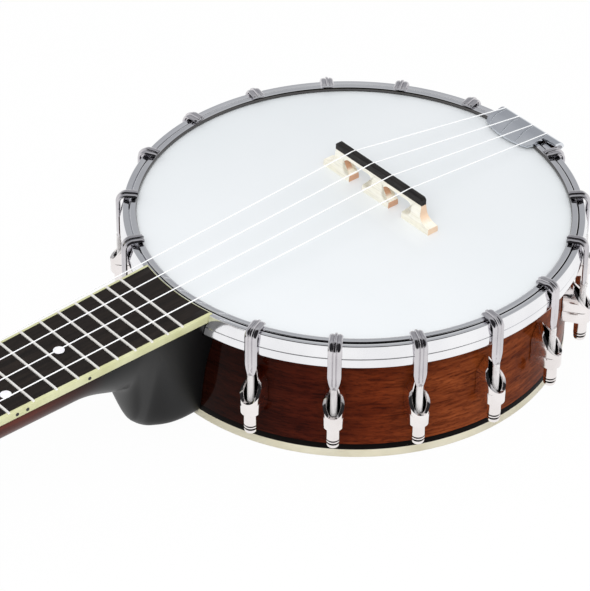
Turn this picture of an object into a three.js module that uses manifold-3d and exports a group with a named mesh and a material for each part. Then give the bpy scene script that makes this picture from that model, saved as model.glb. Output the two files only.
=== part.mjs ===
// Banjo ukulele: an eight inch head, sixteen tension hooks, a tenor scale and four nylon strings.
// Lengths are in millimetres. The pot lies on its back, the head faces +Z and the neck points along -X.
import * as THREE from 'three';
import * as BufferGeometryUtils from 'three/addons/utils/BufferGeometryUtils.js';
import Module from 'manifold-3d';

const wasm = await Module();
wasm.setup();

// Clearances
const fitGap = 0.3;
const stringSeat = 0.1;
const cutOverrun = 2;
const weldDistance = 0.0001;

// Pot: heights are measured from the back of the pot
const potHeight = 68;
const rimRadius = 101.6;
const rimWall = 9;
const rimEdgeRound = 2;
const bindingHeight = 7.7;
const bindingDepth = 2;
const ringSides = 64;

// Drum head
const headDrop = 2.2;
const skinThickness = 0.6;
const skinShoulder = 1.2;
const collarHeight = 6.6;

// Hoops
const hoopSpread = 7.4;
const hoopSkirtHeight = 6;
const fleshHoopHeight = 5.2;
const beadInnerInset = 7.8;
const beadCrestInset = 5.8;
const beadOuterInset = 4;
const grooveInset = 3.3;
const shoulderInset = 2.5;
const grooveDepth = 1.5;
const beadRound = 0.4;
const edgeRound = 0.7;

// Tension hooks
const hookCount = 16;
const hooksPerSide = hookCount / 2;
const firstHookAngle = THREE.MathUtils.degToRad(24.2);
const hookSetTurn = THREE.MathUtils.degToRad(0.9);
const hookStep = THREE.MathUtils.degToRad(20);
const strapWidth = 6.2;
const strapThickness = 1.7;
const strapLength = 18.5;
const strapTaperLength = 6;
const clawRise = 1.9;
const clawReach = 7.4;
const clawTipHeight = 1;
const ribWidth = 1.5;
const ribHeight = 0.5;
const hookRodRadius = 1.5;
const hookRodSides = 8;
const nutRadius = 3.1;
const nutLength = 11.3;
const nutNeckRadius = 2.6;
const nutGrooveWidth = 0.9;
const nutDomeHeight = 2.6;
const nutSides = 8;

// Bracket shoes
const shoeBlockHeight = 6.3;
const shoeBlockTop = 31.3;
const shoeRadius = 4.6;
const cupRadius = 4.9;
const cupWall = 1.2;
const cupHeight = 15;
const cupFrontRise = 0.8;
const cupShoulderShare = 0.45;
const shoePlateThickness = 1.6;
const shoeScrewRadius = 2;
const shoeScrewHeight = 38;
const washerRadius = 4.6;
const washerThickness = 1;
const hexNutRadius = 3.6;
const hexNutHeight = 2.6;
const arcSteps = 6;

// Coordinator rod and tail bolt
const rodRadius = 4;
const rodHeight = 33;
const rodStubRadius = 2.6;
const rodHeelDepth = 16;
const rodSides = 12;
const tailNutRadius = 5;
const tailNutLength = 6.5;

// Neck, measured from the end of the fingerboard that meets the hoop
const scaleLength = 432;
const bridgeOffset = 17;
const boardEndGap = 0.5;
const neckTilt = THREE.MathUtils.degToRad(2);
const boardThickness = 4;
const boardBodyHalfWidth = 23.9;
const boardNutHalfWidth = 17.3;
const neckInset = 0.4;
const neckDepthAtNut = 14;
const neckDepthAtHeel = 17;
const heelCapRise = 5.7;
const heelStart = 60;
const heelEnd = 16;
const heelBottomWidthShare = 0.52;
const heelFlarePower = 1.8;
const heelCornerPower = 9;
const shaftCornerPower = 2.2;
const neckSides = 16;
const neckStations = 30;

// Frets
const fretCount = 20;
const fretWidth = 2.2;
const fretHeight = 1;
const fretCrownShare = 0.4;
const bindingWidth = 1.6;

// String nut
const nutBarLength = 5;
const nutBarRise = 1.7;
const nutSpacing = 9.5;

// Headstock, measured from the string nut
const headTilt = THREE.MathUtils.degToRad(10);
const headstockLength = 148;
const headstockThickness = 13;
const headstockWaist = 18.4;
const headstockHalfWidth = 31;
const headstockCheek = 36;
const headstockCrown = 14;
const headstockTipHalfWidth = 20;
const headstockDip = 5;
const headstockFaceDrop = 1;
const tunerRows = 2;
const firstTunerPlace = 44;
const tunerPitch = 50;
const nearPostOffset = 18;
const farPostOffset = 19.5;

// Geared tuners
const postRadius = 3;
const postWaistRadius = 2.1;
const postHeight = 13;
const postWaistHeight = 4;
const postWaistStart = 5.5;
const postCapRound = 0.8;
const postSides = 10;
const stringHoleRadius = 0.7;
const gearRadius = 4;
const gearThickness = 2.2;
const housingLength = 19;
const housingWidth = 14;
const housingDepth = 8.5;
const housingWall = 1.2;
const earRadius = 4;
const wormRadius = 1.5;
const wormShaftRadius = 1.4;
const wormLength = 6;
const buttonGap = 5;
const buttonLength = 13;
const buttonHalfWidth = 7.5;
const buttonHalfThickness = 3.6;
const buttonCollarRadius = 2.6;
const buttonCollarLength = 3;
const buttonSides = 10;

// Bridge
const bridgeHeight = 15.9;
const bridgeShift = 1;
const capHeight = 3.9;
const capHalfLength = 30.5;
const capEndChamfer = 1;
const bridgeHalfLength = 37.3;
const bridgeFootThickness = 6.2;
const bridgeTopThickness = 2.9;
const toeHeight = 3.2;
const middleToeReach = 9.4;
const outerToeReach = 18.7;
const archRadius = 3.6;
const archInnerReach = 3.65;
const archOuterReach = 24.3;
const bridgeEndRise = 4.9;
const bridgeSpacing = 13.3;
const notchDepth = 0.7;

// Tailpiece
const plateThickness = 1.3;
const plateHalfWidth = 16;
const plateOverhang = 2;
const plateLength = 16.8;
const plateFlatLength = 10.4;
const plateLipRound = 39.5;
const plateLipHeight = 0.8;
const plateCornerSetback = 3.6;
const flangeSpread = 3.6;
const flangeDrop = 8.5;
const flangeHalfWidth = 20.5;
const tongueHalfWidth = 7;
const tongueDrop = 9.5;
const tongueBelowRod = 7;
const tailSpacing = 9.6;
const anchorSlotLength = 3.4;

// Strings
const stringCount = 4;
const stringRadius = 0.45;
const stringSides = 6;

// Values that follow from the sizes above
const headTop = potHeight - headDrop;
const rimTop = headTop - skinThickness;
const hoopSkirtBottom = potHeight - hoopSkirtHeight;
const fleshHoopTop = hoopSkirtBottom - fitGap;
const fleshHoopBottom = fleshHoopTop - fleshHoopHeight;
const skinRadius = rimRadius + fitGap + skinThickness;
const hoopInnerRadius = skinRadius + 2 * fitGap;
const hoopRadius = rimRadius + hoopSpread;
const beadOuterRadius = hoopRadius - beadOuterInset;
const hookAxisRadius = hoopRadius + fitGap + strapThickness / 2;
const boardEndRadius = beadOuterRadius + boardEndGap;
const boardLength = scaleLength - bridgeOffset - boardEndRadius;
const neckTop = -boardThickness - fitGap;
const neckLength = boardLength + nutBarLength;
const heelDepth = potHeight + neckTop - heelCapRise;
const bridgeTop = headTop + bridgeHeight;
const plateBottom = potHeight + 2 * fitGap;
const plateRearReach = hoopRadius + plateOverhang;
const plateLipReach = plateRearReach - plateLength;
const plateFlatStart = plateRearReach - plateFlatLength;
const flangeReach = plateRearReach + flangeSpread;
const tongueTop = fleshHoopBottom - tongueDrop;
const tongueBottom = rodHeight - tongueBelowRod;
const stringHoleSize = stringRadius + fitGap;

const up = new THREE.Vector3(0, 0, 1);

// Materials
function finish(color, roughness, metalness) {
  return new THREE.MeshStandardMaterial({ color, roughness, metalness });
}

const rimWood = finish('#6b2c14', 0.3, 0);
const creamPlastic = finish('#e9e6d2', 0.4, 0);
const whiteSkin = finish('#eef1f3', 0.5, 0);
const chrome = finish('#c9cbcd', 0.15, 1);
const blackLacquer = finish('#1b1b1c', 0.45, 0);
const boardWood = finish('#1e1713', 0.6, 0);
const bone = finish('#ece8d9', 0.45, 0);
const mapleWood = finish('#efe0c0', 0.55, 0);
const ebonyWood = finish('#1d1a19', 0.5, 0);
const steel = finish('#a9abad', 0.3, 1);
const nylon = finish('#f3f5f6', 0.25, 0);

// Solids and joins

// A closed geometry as a solid, with its shared corners merged.
function solid(geometry) {
  const bare = geometry.clone();
  bare.deleteAttribute('normal');
  bare.deleteAttribute('uv');
  const merged = BufferGeometryUtils.mergeVertices(bare, weldDistance);
  const mesh = new wasm.Mesh({
    numProp: 3,
    vertProperties: merged.attributes.position.array,
    triVerts: Uint32Array.from(merged.index.array),
  });
  return new wasm.Manifold(mesh);
}

// The triangles of a solid as a geometry for a mesh.
function geometryOf(body) {
  const mesh = body.getMesh();
  const geometry = new THREE.BufferGeometry();
  geometry.setAttribute('position', new THREE.BufferAttribute(mesh.vertProperties, 3));
  geometry.setIndex(new THREE.BufferAttribute(mesh.triVerts, 1));
  geometry.computeVertexNormals();
  return geometry;
}

function joined(bodies) {
  return bodies.reduce((whole, body) => whole.add(body));
}

function piece(name, body, material) {
  const mesh = new THREE.Mesh(geometryOf(body), material);
  mesh.name = name;
  return mesh;
}

// Shapes

function shapeOf(points) {
  return new THREE.Shape(points.map(([x, y]) => new THREE.Vector2(x, y)));
}

// A profile of radii and heights turned about Z. It runs up its outer side and closes on itself.
function turned(profile, sides) {
  const points = profile.map(([radius, height]) => new THREE.Vector2(radius, height));
  const [first] = points;
  const last = points[points.length - 1];
  if (first.x > 0 || last.x > 0) points.push(first.clone());
  return new THREE.LatheGeometry(points, sides).rotateX(Math.PI / 2);
}

// An outline of x and y, raised from a height.
function raised(points, bottom, height) {
  const geometry = new THREE.ExtrudeGeometry(shapeOf(points), { depth: height, bevelEnabled: false });
  return geometry.translate(0, 0, bottom);
}

// An outline of x and z, spread to both sides of Y zero.
function acrossY(points, width) {
  const geometry = new THREE.ExtrudeGeometry(shapeOf(points), { depth: width, bevelEnabled: false });
  return geometry.rotateX(Math.PI / 2).translate(0, width / 2, 0);
}

// An outline of y and z, carried along X from a place.
function alongX(points, start, length) {
  const geometry = new THREE.ExtrudeGeometry(shapeOf(points), { depth: length, bevelEnabled: false });
  return geometry.rotateX(Math.PI / 2).rotateZ(Math.PI / 2).translate(start, 0, 0);
}

function block(x, y, z, lowX, lowY, lowZ) {
  return new THREE.BoxGeometry(x, y, z).translate(lowX + x / 2, lowY + y / 2, lowZ + z / 2);
}

// A round bar between two points.
function bar(from, to, radius, sides) {
  const path = to.clone().sub(from);
  const geometry = new THREE.CylinderGeometry(radius, radius, path.length(), sides).rotateX(Math.PI / 2);
  const turn = new THREE.Quaternion().setFromUnitVectors(up, path.clone().normalize());
  const middle = from.clone().add(to).multiplyScalar(1 / 2);
  return geometry.applyQuaternion(turn).translate(middle.x, middle.y, middle.z);
}

// Points of an arc about a centre, from one angle to another.
function arc(centreX, centreY, radius, start, end, steps) {
  return Array.from({ length: steps + 1 }, (_, i) => {
    const angle = THREE.MathUtils.lerp(start, end, i / steps);
    return [centreX + radius * Math.cos(angle), centreY + radius * Math.sin(angle)];
  });
}

// Pot

function makeRim() {
  const inner = rimRadius - rimWall;
  const ledge = rimRadius - bindingDepth - fitGap;
  const ledgeTop = bindingHeight + fitGap;
  const round = rimEdgeRound;
  const edge = arc(rimRadius - round, rimTop - round, round, 0, Math.PI / 2, 2);
  const ring = [[inner, 0], [ledge, 0], [ledge, ledgeTop], [rimRadius, ledgeTop], ...edge,
    [inner, rimTop]];
  const holes = hookAngles().map((angle) => shoeScrewHole(angle));
  const reach = rimRadius + cutOverrun;
  const middle = new THREE.Vector3(0, 0, rodHeight);
  const ends = [-reach, reach].map((x) => bar(middle, new THREE.Vector3(x, 0, rodHeight),
    rodStubRadius + fitGap, rodSides));
  return solid(turned(ring, ringSides)).subtract(joined([...holes, ...ends.map(solid)]));
}

function shoeScrewHole(angle) {
  const from = new THREE.Vector3(rimRadius - rimWall - cutOverrun, 0, shoeScrewHeight);
  const to = new THREE.Vector3(rimRadius + cutOverrun, 0, shoeScrewHeight);
  return solid(bar(from, to, shoeScrewRadius + fitGap, arcSteps).rotateZ(angle));
}

function makeBinding() {
  const inner = rimRadius - bindingDepth;
  const profile = [[inner, 0], [rimRadius, 0], [rimRadius, bindingHeight], [inner, bindingHeight]];
  return solid(turned(profile, ringSides));
}

// The skin is flat over the rim, rolls over its edge and hangs down inside the flesh hoop.
function makeDrumHead() {
  const inner = skinRadius - skinThickness;
  const round = skinShoulder;
  const shoulder = arc(skinRadius - round, headTop - round, round, 0, Math.PI / 2, 2);
  const bottom = headTop - collarHeight;
  const under = headTop - skinThickness;
  const profile = [[0, under], [inner - round / 2, under], [inner, under - round / 2], [inner, bottom],
    [skinRadius, bottom], ...shoulder, [0, headTop]];
  return solid(turned(profile, ringSides));
}

function makeFleshHoop() {
  const inner = skinRadius + fitGap;
  const profile = [[inner, fleshHoopBottom], [hoopRadius, fleshHoopBottom], [hoopRadius, fleshHoopTop],
    [inner, fleshHoopTop]];
  return solid(turned(profile, ringSides));
}

// The bead rolls over the head, and a groove parts it from the upright skirt. The fingerboard ends
// in a notch that leaves the bead whole.
function makeTensionHoop() {
  const beadBottom = headTop + fitGap;
  const beadInnerRadius = hoopRadius - beadInnerInset;
  const beadCrestRadius = hoopRadius - beadCrestInset;
  const profile = [
    [hoopInnerRadius, hoopSkirtBottom],
    [hoopRadius, hoopSkirtBottom],
    [hoopRadius, potHeight - edgeRound - beadRound / 2],
    [hoopRadius - edgeRound, potHeight - beadRound / 2],
    [hoopRadius - shoulderInset, potHeight - beadRound / 2],
    [hoopRadius - grooveInset, potHeight - grooveDepth],
    [beadOuterRadius, potHeight - edgeRound],
    [beadOuterRadius - edgeRound, potHeight - beadRound / 2],
    [beadCrestRadius, potHeight],
    [beadInnerRadius + edgeRound, potHeight - beadRound],
    [beadInnerRadius, potHeight - edgeRound - beadRound],
    [beadInnerRadius, beadBottom],
    [hoopInnerRadius, beadBottom],
  ];
  return solid(turned(profile, ringSides)).subtract(boardNotch());
}

function boardNotch() {
  const floor = potHeight - boardThickness - 2 * fitGap;
  const half = boardBodyHalfWidth + boardEndGap;
  const wall = boardEndRadius - fitGap;
  const passage = block(2 * hoopRadius, 2 * half, potHeight, -2 * hoopRadius, -half, floor);
  const kept = turned([[0, 0], [wall, 0], [wall, 2 * potHeight], [0, 2 * potHeight]], ringSides);
  return solid(passage).subtract(solid(kept));
}

// Tension hooks and shoes, made for angle zero and then turned about the pot

// The hooks run from the first one beside the neck to the tail, on both sides. The whole set sits
// a little turned about the pot.
function hookAngles() {
  const sides = [1, -1];
  return sides.flatMap((side) => Array.from({ length: hooksPerSide },
    (_, i) => Math.PI + hookSetTurn + side * (firstHookAngle + i * hookStep)));
}

function hookSideOutline() {
  const inner = hoopRadius + fitGap;
  const outer = inner + strapThickness;
  const crest = potHeight + fitGap;
  const top = potHeight + clawRise;
  const tip = outer - clawReach - strapThickness;
  const strapEnd = potHeight - strapLength - strapTaperLength;
  return [
    [inner, strapEnd],
    [outer, strapEnd],
    [outer, potHeight - edgeRound],
    [outer - edgeRound / 2, potHeight + edgeRound],
    [outer - strapThickness, top - beadRound / 2],
    [outer - 2 * strapThickness, top],
    [tip + clawTipHeight, top - beadRound / 2],
    [tip, top - clawTipHeight],
    [tip, crest - beadRound / 2],
    [tip + edgeRound, crest],
    [inner - edgeRound, crest],
    [inner, potHeight - beadRound],
  ];
}

// Seen from outside, the strap is straight and narrows to the width of its rod.
function hookFrontOutline() {
  const strapBottom = potHeight - strapLength;
  const taperBottom = strapBottom - strapTaperLength;
  const half = strapWidth / 2;
  const top = potHeight + clawRise + cutOverrun;
  return [[-hookRodRadius, taperBottom], [hookRodRadius, taperBottom], [half, strapBottom], [half, top],
    [-half, top], [-half, strapBottom]];
}

function hookNutProfile() {
  const top = shoeBlockTop - shoeBlockHeight - fitGap;
  const bottom = top - nutLength;
  const groove = bottom + nutDomeHeight;
  return [[0, bottom], [nutRadius / 2, bottom + edgeRound / 2], [nutRadius, bottom + nutDomeHeight / 2],
    [nutRadius, groove], [nutNeckRadius, groove], [nutNeckRadius, groove + nutGrooveWidth],
    [nutRadius, groove + nutGrooveWidth], [nutRadius, top], [0, top]];
}

function makeHook() {
  const side = solid(acrossY(hookSideOutline(), strapWidth));
  const front = solid(alongX(hookFrontOutline(), hoopRadius - 2 * clawReach, 3 * clawReach));
  const ribBottom = potHeight - strapLength - strapTaperLength / 2;
  const rib = solid(block(ribHeight + strapThickness / 2, ribWidth, potHeight - edgeRound - ribBottom,
    hookAxisRadius, -ribWidth / 2, ribBottom));
  const nut = solid(turned(hookNutProfile(), nutSides).translate(hookAxisRadius, 0, 0));
  const rodTop = new THREE.Vector3(hookAxisRadius, 0, potHeight - strapLength - strapTaperLength / 2);
  const rodEnd = new THREE.Vector3(hookAxisRadius, 0, shoeBlockTop - shoeBlockHeight - nutLength / 2);
  const rod = solid(bar(rodTop, rodEnd, hookRodRadius, hookRodSides));
  return joined([side.intersect(front), rib, rod, nut]);
}

// A round-nosed outline on the rim: straight sides from the wall and a half circle about the rod.
function shoeOutline(radius, wall) {
  const nose = arc(hookAxisRadius, 0, radius, -Math.PI / 2, Math.PI / 2, arcSteps);
  return [[wall, -radius], ...nose, [wall, radius]];
}

// Seen from outside, the cup is an almond: upright sides that close in two curves to a point.
function cupFrontOutline(radius, bottom, top) {
  const shoulder = THREE.MathUtils.lerp(bottom, top, cupShoulderShare);
  const steps = arcSteps / 2;
  const side = Array.from({ length: steps }, (_, i) => {
    const share = i / steps;
    return [radius * (1 - share * share), THREE.MathUtils.lerp(shoulder, top, share)];
  });
  const far = side.slice().reverse().map(([y, z]) => [-y, z]);
  return [[radius, bottom], ...side, [0, top], ...far, [-radius, bottom]];
}

function makeShoe() {
  const wall = rimRadius + fitGap;
  const front = hookAxisRadius + cupRadius + fitGap;
  const cupTop = shoeBlockTop + cupHeight;
  const blockBottom = shoeBlockTop - shoeBlockHeight;
  const mass = solid(raised(shoeOutline(shoeRadius, wall), blockBottom, shoeBlockHeight));
  const overlap = edgeRound;
  const cupBottom = shoeBlockTop - overlap;
  const bowl = solid(raised(shoeOutline(cupRadius, wall), cupBottom, cupHeight + overlap));
  const almond = solid(alongX(cupFrontOutline(cupRadius, cupBottom, cupTop), wall - cutOverrun,
    front - wall + 2 * cutOverrun));
  const slope = solid(acrossY([[wall, cupBottom - cutOverrun], [front, cupBottom - cutOverrun],
    [front, shoeBlockTop + cupFrontRise], [wall + shoePlateThickness, cupTop], [wall, cupTop]],
  2 * cupRadius + cutOverrun));
  const hollow = solid(raised(shoeOutline(cupRadius - cupWall, wall + shoePlateThickness), shoeBlockTop,
    cupHeight + cutOverrun));
  const bore = solid(bar(new THREE.Vector3(hookAxisRadius, 0, cupBottom - shoeBlockHeight - cutOverrun),
    new THREE.Vector3(hookAxisRadius, 0, cupTop), hookRodRadius + fitGap, hookRodSides));
  const cup = bowl.intersect(almond).intersect(slope).subtract(hollow);
  return joined([mass.add(cup).subtract(bore), shoeScrew(wall)]);
}

// The screw passes through the rim and carries a washer and a nut inside the pot.
function shoeScrew(wall) {
  const inside = rimRadius - rimWall - fitGap;
  const end = inside - washerThickness - hexNutHeight;
  const at = (x) => new THREE.Vector3(x, 0, shoeScrewHeight);
  const shank = solid(bar(at(end - washerThickness), at(wall + shoePlateThickness / 2), shoeScrewRadius,
    arcSteps));
  const washer = solid(bar(at(inside - washerThickness), at(inside), washerRadius, nutSides));
  const hexNut = solid(bar(at(end), at(inside - washerThickness / 2), hexNutRadius, 6));
  return joined([shank, washer, hexNut]);
}

// The rod runs from the heel through the pot to a nut outside the tailpiece.
function makeCoordinatorRod() {
  const wall = rimRadius - rimWall - fitGap;
  const tongueOuter = rimRadius + 2 * fitGap + plateThickness;
  const nutStart = tongueOuter + fitGap;
  const heelEndPlace = -rimRadius - rodHeelDepth;
  const dome = tailNutRadius / 2;
  const nutEnd = nutStart + tailNutLength;
  const profile = [[0, heelEndPlace], [rodStubRadius, heelEndPlace], [rodStubRadius, -wall],
    [rodRadius, -wall], [rodRadius, wall], [rodStubRadius, wall], [rodStubRadius, nutStart],
    [tailNutRadius, nutStart], [tailNutRadius, nutEnd - dome], [dome, nutEnd], [0, nutEnd]];
  return solid(turned(profile, rodSides).rotateY(Math.PI / 2).translate(0, 0, rodHeight));
}

// Tailpiece

// The plate lies over the hoop, bends down behind it and narrows to a tongue on the rim.
function tailpieceSideOutline() {
  const t = plateThickness;
  const lipTop = headTop + plateLipHeight + t;
  const top = plateBottom + t;
  const bendDrop = potHeight - t;
  const flangeZ = potHeight - flangeDrop;
  const wall = rimRadius + 2 * fitGap;
  return [
    [plateLipReach, lipTop - t],
    [plateLipReach + t, lipTop - t],
    [plateFlatStart, plateBottom],
    [plateRearReach - t, plateBottom],
    [plateRearReach - t / 2, bendDrop],
    [flangeReach - t, flangeZ],
    [wall, tongueTop],
    [wall, tongueBottom],
    [wall + t, tongueBottom],
    [wall + t, tongueTop],
    [flangeReach, flangeZ],
    [plateRearReach + t / 2, bendDrop],
    [plateRearReach, plateBottom + t / 2],
    [plateRearReach - t, top],
    [plateFlatStart, top],
    [plateLipReach + t, lipTop],
    [plateLipReach, lipTop - t / 2],
  ];
}

// Seen from above, the front lip is an arc and the rear flange is wider than the plate.
function tailpiecePlanOutline() {
  const halfAngle = Math.asin((plateHalfWidth - plateCornerSetback / 2) / plateLipRound);
  const lip = arc(plateLipReach + plateLipRound, 0, plateLipRound, Math.PI - halfAngle, Math.PI + halfAngle,
    arcSteps);
  const [cornerX] = lip[0];
  const rear = flangeReach + cutOverrun;
  const side = [[cornerX + plateCornerSetback, plateHalfWidth], [plateRearReach, plateHalfWidth],
    [plateRearReach + plateThickness, flangeHalfWidth], [rear, flangeHalfWidth]];
  const mirrored = side.map(([x, y]) => [x, -y]);
  return [...lip, ...mirrored, ...side.slice().reverse()];
}

function tongueOutline() {
  const flangeBottom = potHeight - flangeDrop;
  const top = potHeight + headDrop + plateThickness;
  const bottom = tongueBottom - cutOverrun;
  const half = [[tongueHalfWidth, bottom], [tongueHalfWidth, tongueTop], [flangeHalfWidth, flangeBottom],
    [flangeHalfWidth, top]];
  const mirrored = half.slice().reverse().map(([y, z]) => [-y, z]);
  return [...half, ...mirrored];
}

// The bent strip is trimmed to its front view and, above the tongue, to its plan.
function makeTailpiece() {
  const strip = solid(acrossY(tailpieceSideOutline(), 2 * flangeHalfWidth));
  const front = solid(alongX(tongueOutline(), 0, flangeReach + cutOverrun));
  const low = block(flangeReach, 4 * flangeHalfWidth, tongueTop + cutOverrun, 0, -2 * flangeHalfWidth, 0);
  const plan = solid(raised(tailpiecePlanOutline(), tongueTop, potHeight)).add(solid(low));
  const slotStart = plateRearReach - (anchorSlotLength + plateThickness) / 2;
  const slotHeight = headDrop + plateThickness + cutOverrun;
  const slots = stringPlaces(tailSpacing).map((y) => solid(block(anchorSlotLength, 2 * stringHoleSize,
    slotHeight, slotStart, y - stringHoleSize, potHeight - headDrop)));
  const boltHole = solid(bar(new THREE.Vector3(rimRadius - cutOverrun, 0, rodHeight),
    new THREE.Vector3(flangeReach, 0, rodHeight), rodStubRadius + fitGap, rodSides));
  return strip.intersect(front).intersect(plan).subtract(joined([...slots, boltHole]));
}

// Bridge, made over the pot's centre and moved to its place

// Three feet with two long arches between them, whose round ends come down to the tops of the toes.
// The bridge's own ends are hollow, each a quarter of an ellipse that stands on the outer toe.
function bridgeFrontOutline() {
  const top = bridgeHeight - capHeight;
  const archCentre = toeHeight + archRadius;
  const outer = arc(archOuterReach - archRadius, archCentre, archRadius, -Math.PI / 2, Math.PI / 2,
    arcSteps);
  const inner = arc(archInnerReach + archRadius, archCentre, archRadius, Math.PI / 2, 3 * Math.PI / 2,
    arcSteps);
  const ceiling = [...outer, ...inner].reverse();
  const endRadius = bridgeHalfLength - capHalfLength;
  const end = arc(bridgeHalfLength, 0, endRadius, -Math.PI / 2, -Math.PI, arcSteps / 2)
    .map(([y, z]) => [y, toeHeight + bridgeEndRise * (1 + z / endRadius)]);
  const half = [[middleToeReach, 0], [middleToeReach, toeHeight], ...ceiling, [outerToeReach, toeHeight],
    [outerToeReach, 0], [bridgeHalfLength, 0], ...end, [capHalfLength, top]];
  const other = half.slice().reverse().map(([y, z]) => [-y, z]);
  return [...half, ...other];
}

function makeBridge() {
  const top = bridgeHeight - capHeight;
  const foot = bridgeFootThickness / 2;
  const neck = bridgeTopThickness / 2;
  const shape = solid(alongX(bridgeFrontOutline(), -bridgeFootThickness, 2 * bridgeFootThickness));
  const side = solid(acrossY([[-foot, 0], [foot, 0], [foot, toeHeight / 2], [neck, top], [-neck, top],
    [-foot, toeHeight / 2]], 2 * bridgeHalfLength + cutOverrun));
  return shape.intersect(side);
}

function makeBridgeCap() {
  const half = bridgeTopThickness / 2;
  const outline = [[-capHalfLength, 0], [capHalfLength, 0], [capHalfLength, capHeight - capEndChamfer],
    [capHalfLength - capEndChamfer, capHeight], [capEndChamfer - capHalfLength, capHeight],
    [-capHalfLength, capHeight - capEndChamfer]];
  const cap = solid(alongX(outline, -half, bridgeTopThickness));
  const notches = stringPlaces(bridgeSpacing).map((y) => solid(block(2 * bridgeTopThickness,
    2 * stringHoleSize, notchDepth + cutOverrun, -bridgeTopThickness, y - stringHoleSize,
    capHeight - notchDepth)));
  return cap.subtract(joined(notches));
}

// Neck, in its own frame: X zero is the end of the fingerboard at the hoop, Z zero is its top

function boardHalfWidthAt(x) {
  return THREE.MathUtils.lerp(boardBodyHalfWidth, boardNutHalfWidth, -x / boardLength);
}

function heelShare(x) {
  return THREE.MathUtils.smoothstep(x, -heelStart, -heelEnd);
}

// The shaft deepens slowly to the heel, and past the string nut it thins to the headstock.
function neckDepthAt(x) {
  if (x < -neckLength) {
    const past = THREE.MathUtils.clamp((-neckLength - x) / headstockThickness, 0, 1);
    return THREE.MathUtils.lerp(neckDepthAtNut, headstockThickness - neckInset, past);
  }
  const share = THREE.MathUtils.clamp((neckLength + x) / (neckLength - heelStart), 0, 1);
  const shaft = THREE.MathUtils.lerp(neckDepthAtNut, neckDepthAtHeel, share);
  return THREE.MathUtils.lerp(shaft, heelDepth, heelShare(x));
}

// The width of a cross-section at a share of its depth: the heel draws in towards its cap.
function neckFlareShare(x, depthShare) {
  const flare = heelBottomWidthShare + (1 - heelBottomWidthShare) * (1 - depthShare) ** heelFlarePower;
  return THREE.MathUtils.lerp(1, flare, heelShare(x));
}

// A point of the cross-section, as shares of its width and depth. It is flat on top and rounded below,
// and its lower corners grow squarer from the shaft to the heel.
function neckSectionShares(x, angle) {
  const across = snapped(Math.cos(angle));
  const down = snapped(-Math.sin(angle));
  if (down <= 0) return [across, 0];
  const power = 2 / THREE.MathUtils.lerp(shaftCornerPower, heelCornerPower, heelShare(x));
  const depthShare = down ** power;
  return [Math.sign(across) * Math.abs(across) ** power * neckFlareShare(x, depthShare), depthShare];
}

// A sine or cosine that is zero but for rounding becomes zero.
function snapped(value) {
  return Math.abs(value) < weldDistance ? 0 : value;
}

// Half of the stations crowd together on the heel, where the depth changes fast.
function neckStationAt(share) {
  const front = hoopRadius - rimRadius + cutOverrun + boardBodyHalfWidth / 4;
  const heelEndPlace = front - 2 * heelStart;
  const tip = -neckLength - headstockThickness;
  return share < 1 / 2
    ? THREE.MathUtils.lerp(front, heelEndPlace, 2 * share)
    : THREE.MathUtils.lerp(heelEndPlace, tip, 2 * share - 1);
}

// The shaft and heel are a unit cylinder whose rings are reshaped.
function neckLoft() {
  const geometry = new THREE.CylinderGeometry(1, 1, 1, neckSides, neckStations).rotateX(Math.PI / 2);
  const place = geometry.attributes.position;
  for (let i = 0; i < place.count; i += 1) {
    const x = neckStationAt(1 / 2 - place.getZ(i));
    const onWall = Math.hypot(place.getX(i), place.getY(i)) > 1 / 2;
    const angle = Math.atan2(place.getY(i), place.getX(i));
    const [widthShare, depthShare] = onWall ? neckSectionShares(x, angle) : [0, 1 / 2];
    const half = boardHalfWidthAt(THREE.MathUtils.clamp(x, -boardLength, 0)) - neckInset;
    place.setXYZ(i, x, widthShare * half, neckTop - depthShare * neckDepthAt(x));
  }
  return solid(geometry);
}

// The pot's room in the neck or the board: the rim with its gap, and the hoops above it.
function potClearance(toNeck, hoopRoom) {
  const rimRoom = rimRadius + fitGap;
  const hoopFloor = fleshHoopBottom - fitGap;
  const profile = [[0, -potHeight], [rimRoom, -potHeight], [rimRoom, hoopFloor], [hoopRoom, hoopFloor],
    [hoopRoom, 2 * potHeight], [0, 2 * potHeight]];
  return solid(turned(profile, ringSides).applyMatrix4(toNeck));
}

function headstockOutline() {
  const shape = new THREE.Shape();
  const waist = headstockWaist;
  const wide = headstockHalfWidth;
  const length = headstockLength;
  const crownStart = length - headstockCrown;
  const dip = length - headstockDip / 2;
  shape.moveTo(0, -waist);
  shape.lineTo(0, waist);
  shape.bezierCurveTo(-headstockCheek / 2, waist, -headstockCheek / 2, wide, -headstockCheek, wide);
  shape.lineTo(-crownStart, wide);
  shape.quadraticCurveTo(-length, wide, -length, headstockTipHalfWidth);
  shape.quadraticCurveTo(-dip, headstockTipHalfWidth / 2, headstockDip - length, 0);
  shape.quadraticCurveTo(-dip, -headstockTipHalfWidth / 2, -length, -headstockTipHalfWidth);
  shape.quadraticCurveTo(-length, -wide, -crownStart, -wide);
  shape.lineTo(-headstockCheek, -wide);
  shape.bezierCurveTo(-headstockCheek / 2, -wide, -headstockCheek / 2, -waist, 0, -waist);
  return shape;
}

// The places of the string posts on the headstock, each with its side.
function tunerPlaces() {
  const offsets = [nearPostOffset, farPostOffset];
  const sides = [1, -1];
  return sides.flatMap((side) => offsets.slice(0, tunerRows)
    .map((offset, row) => ({ x: -firstTunerPlace - row * tunerPitch, y: side * offset, side, row })));
}

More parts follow.
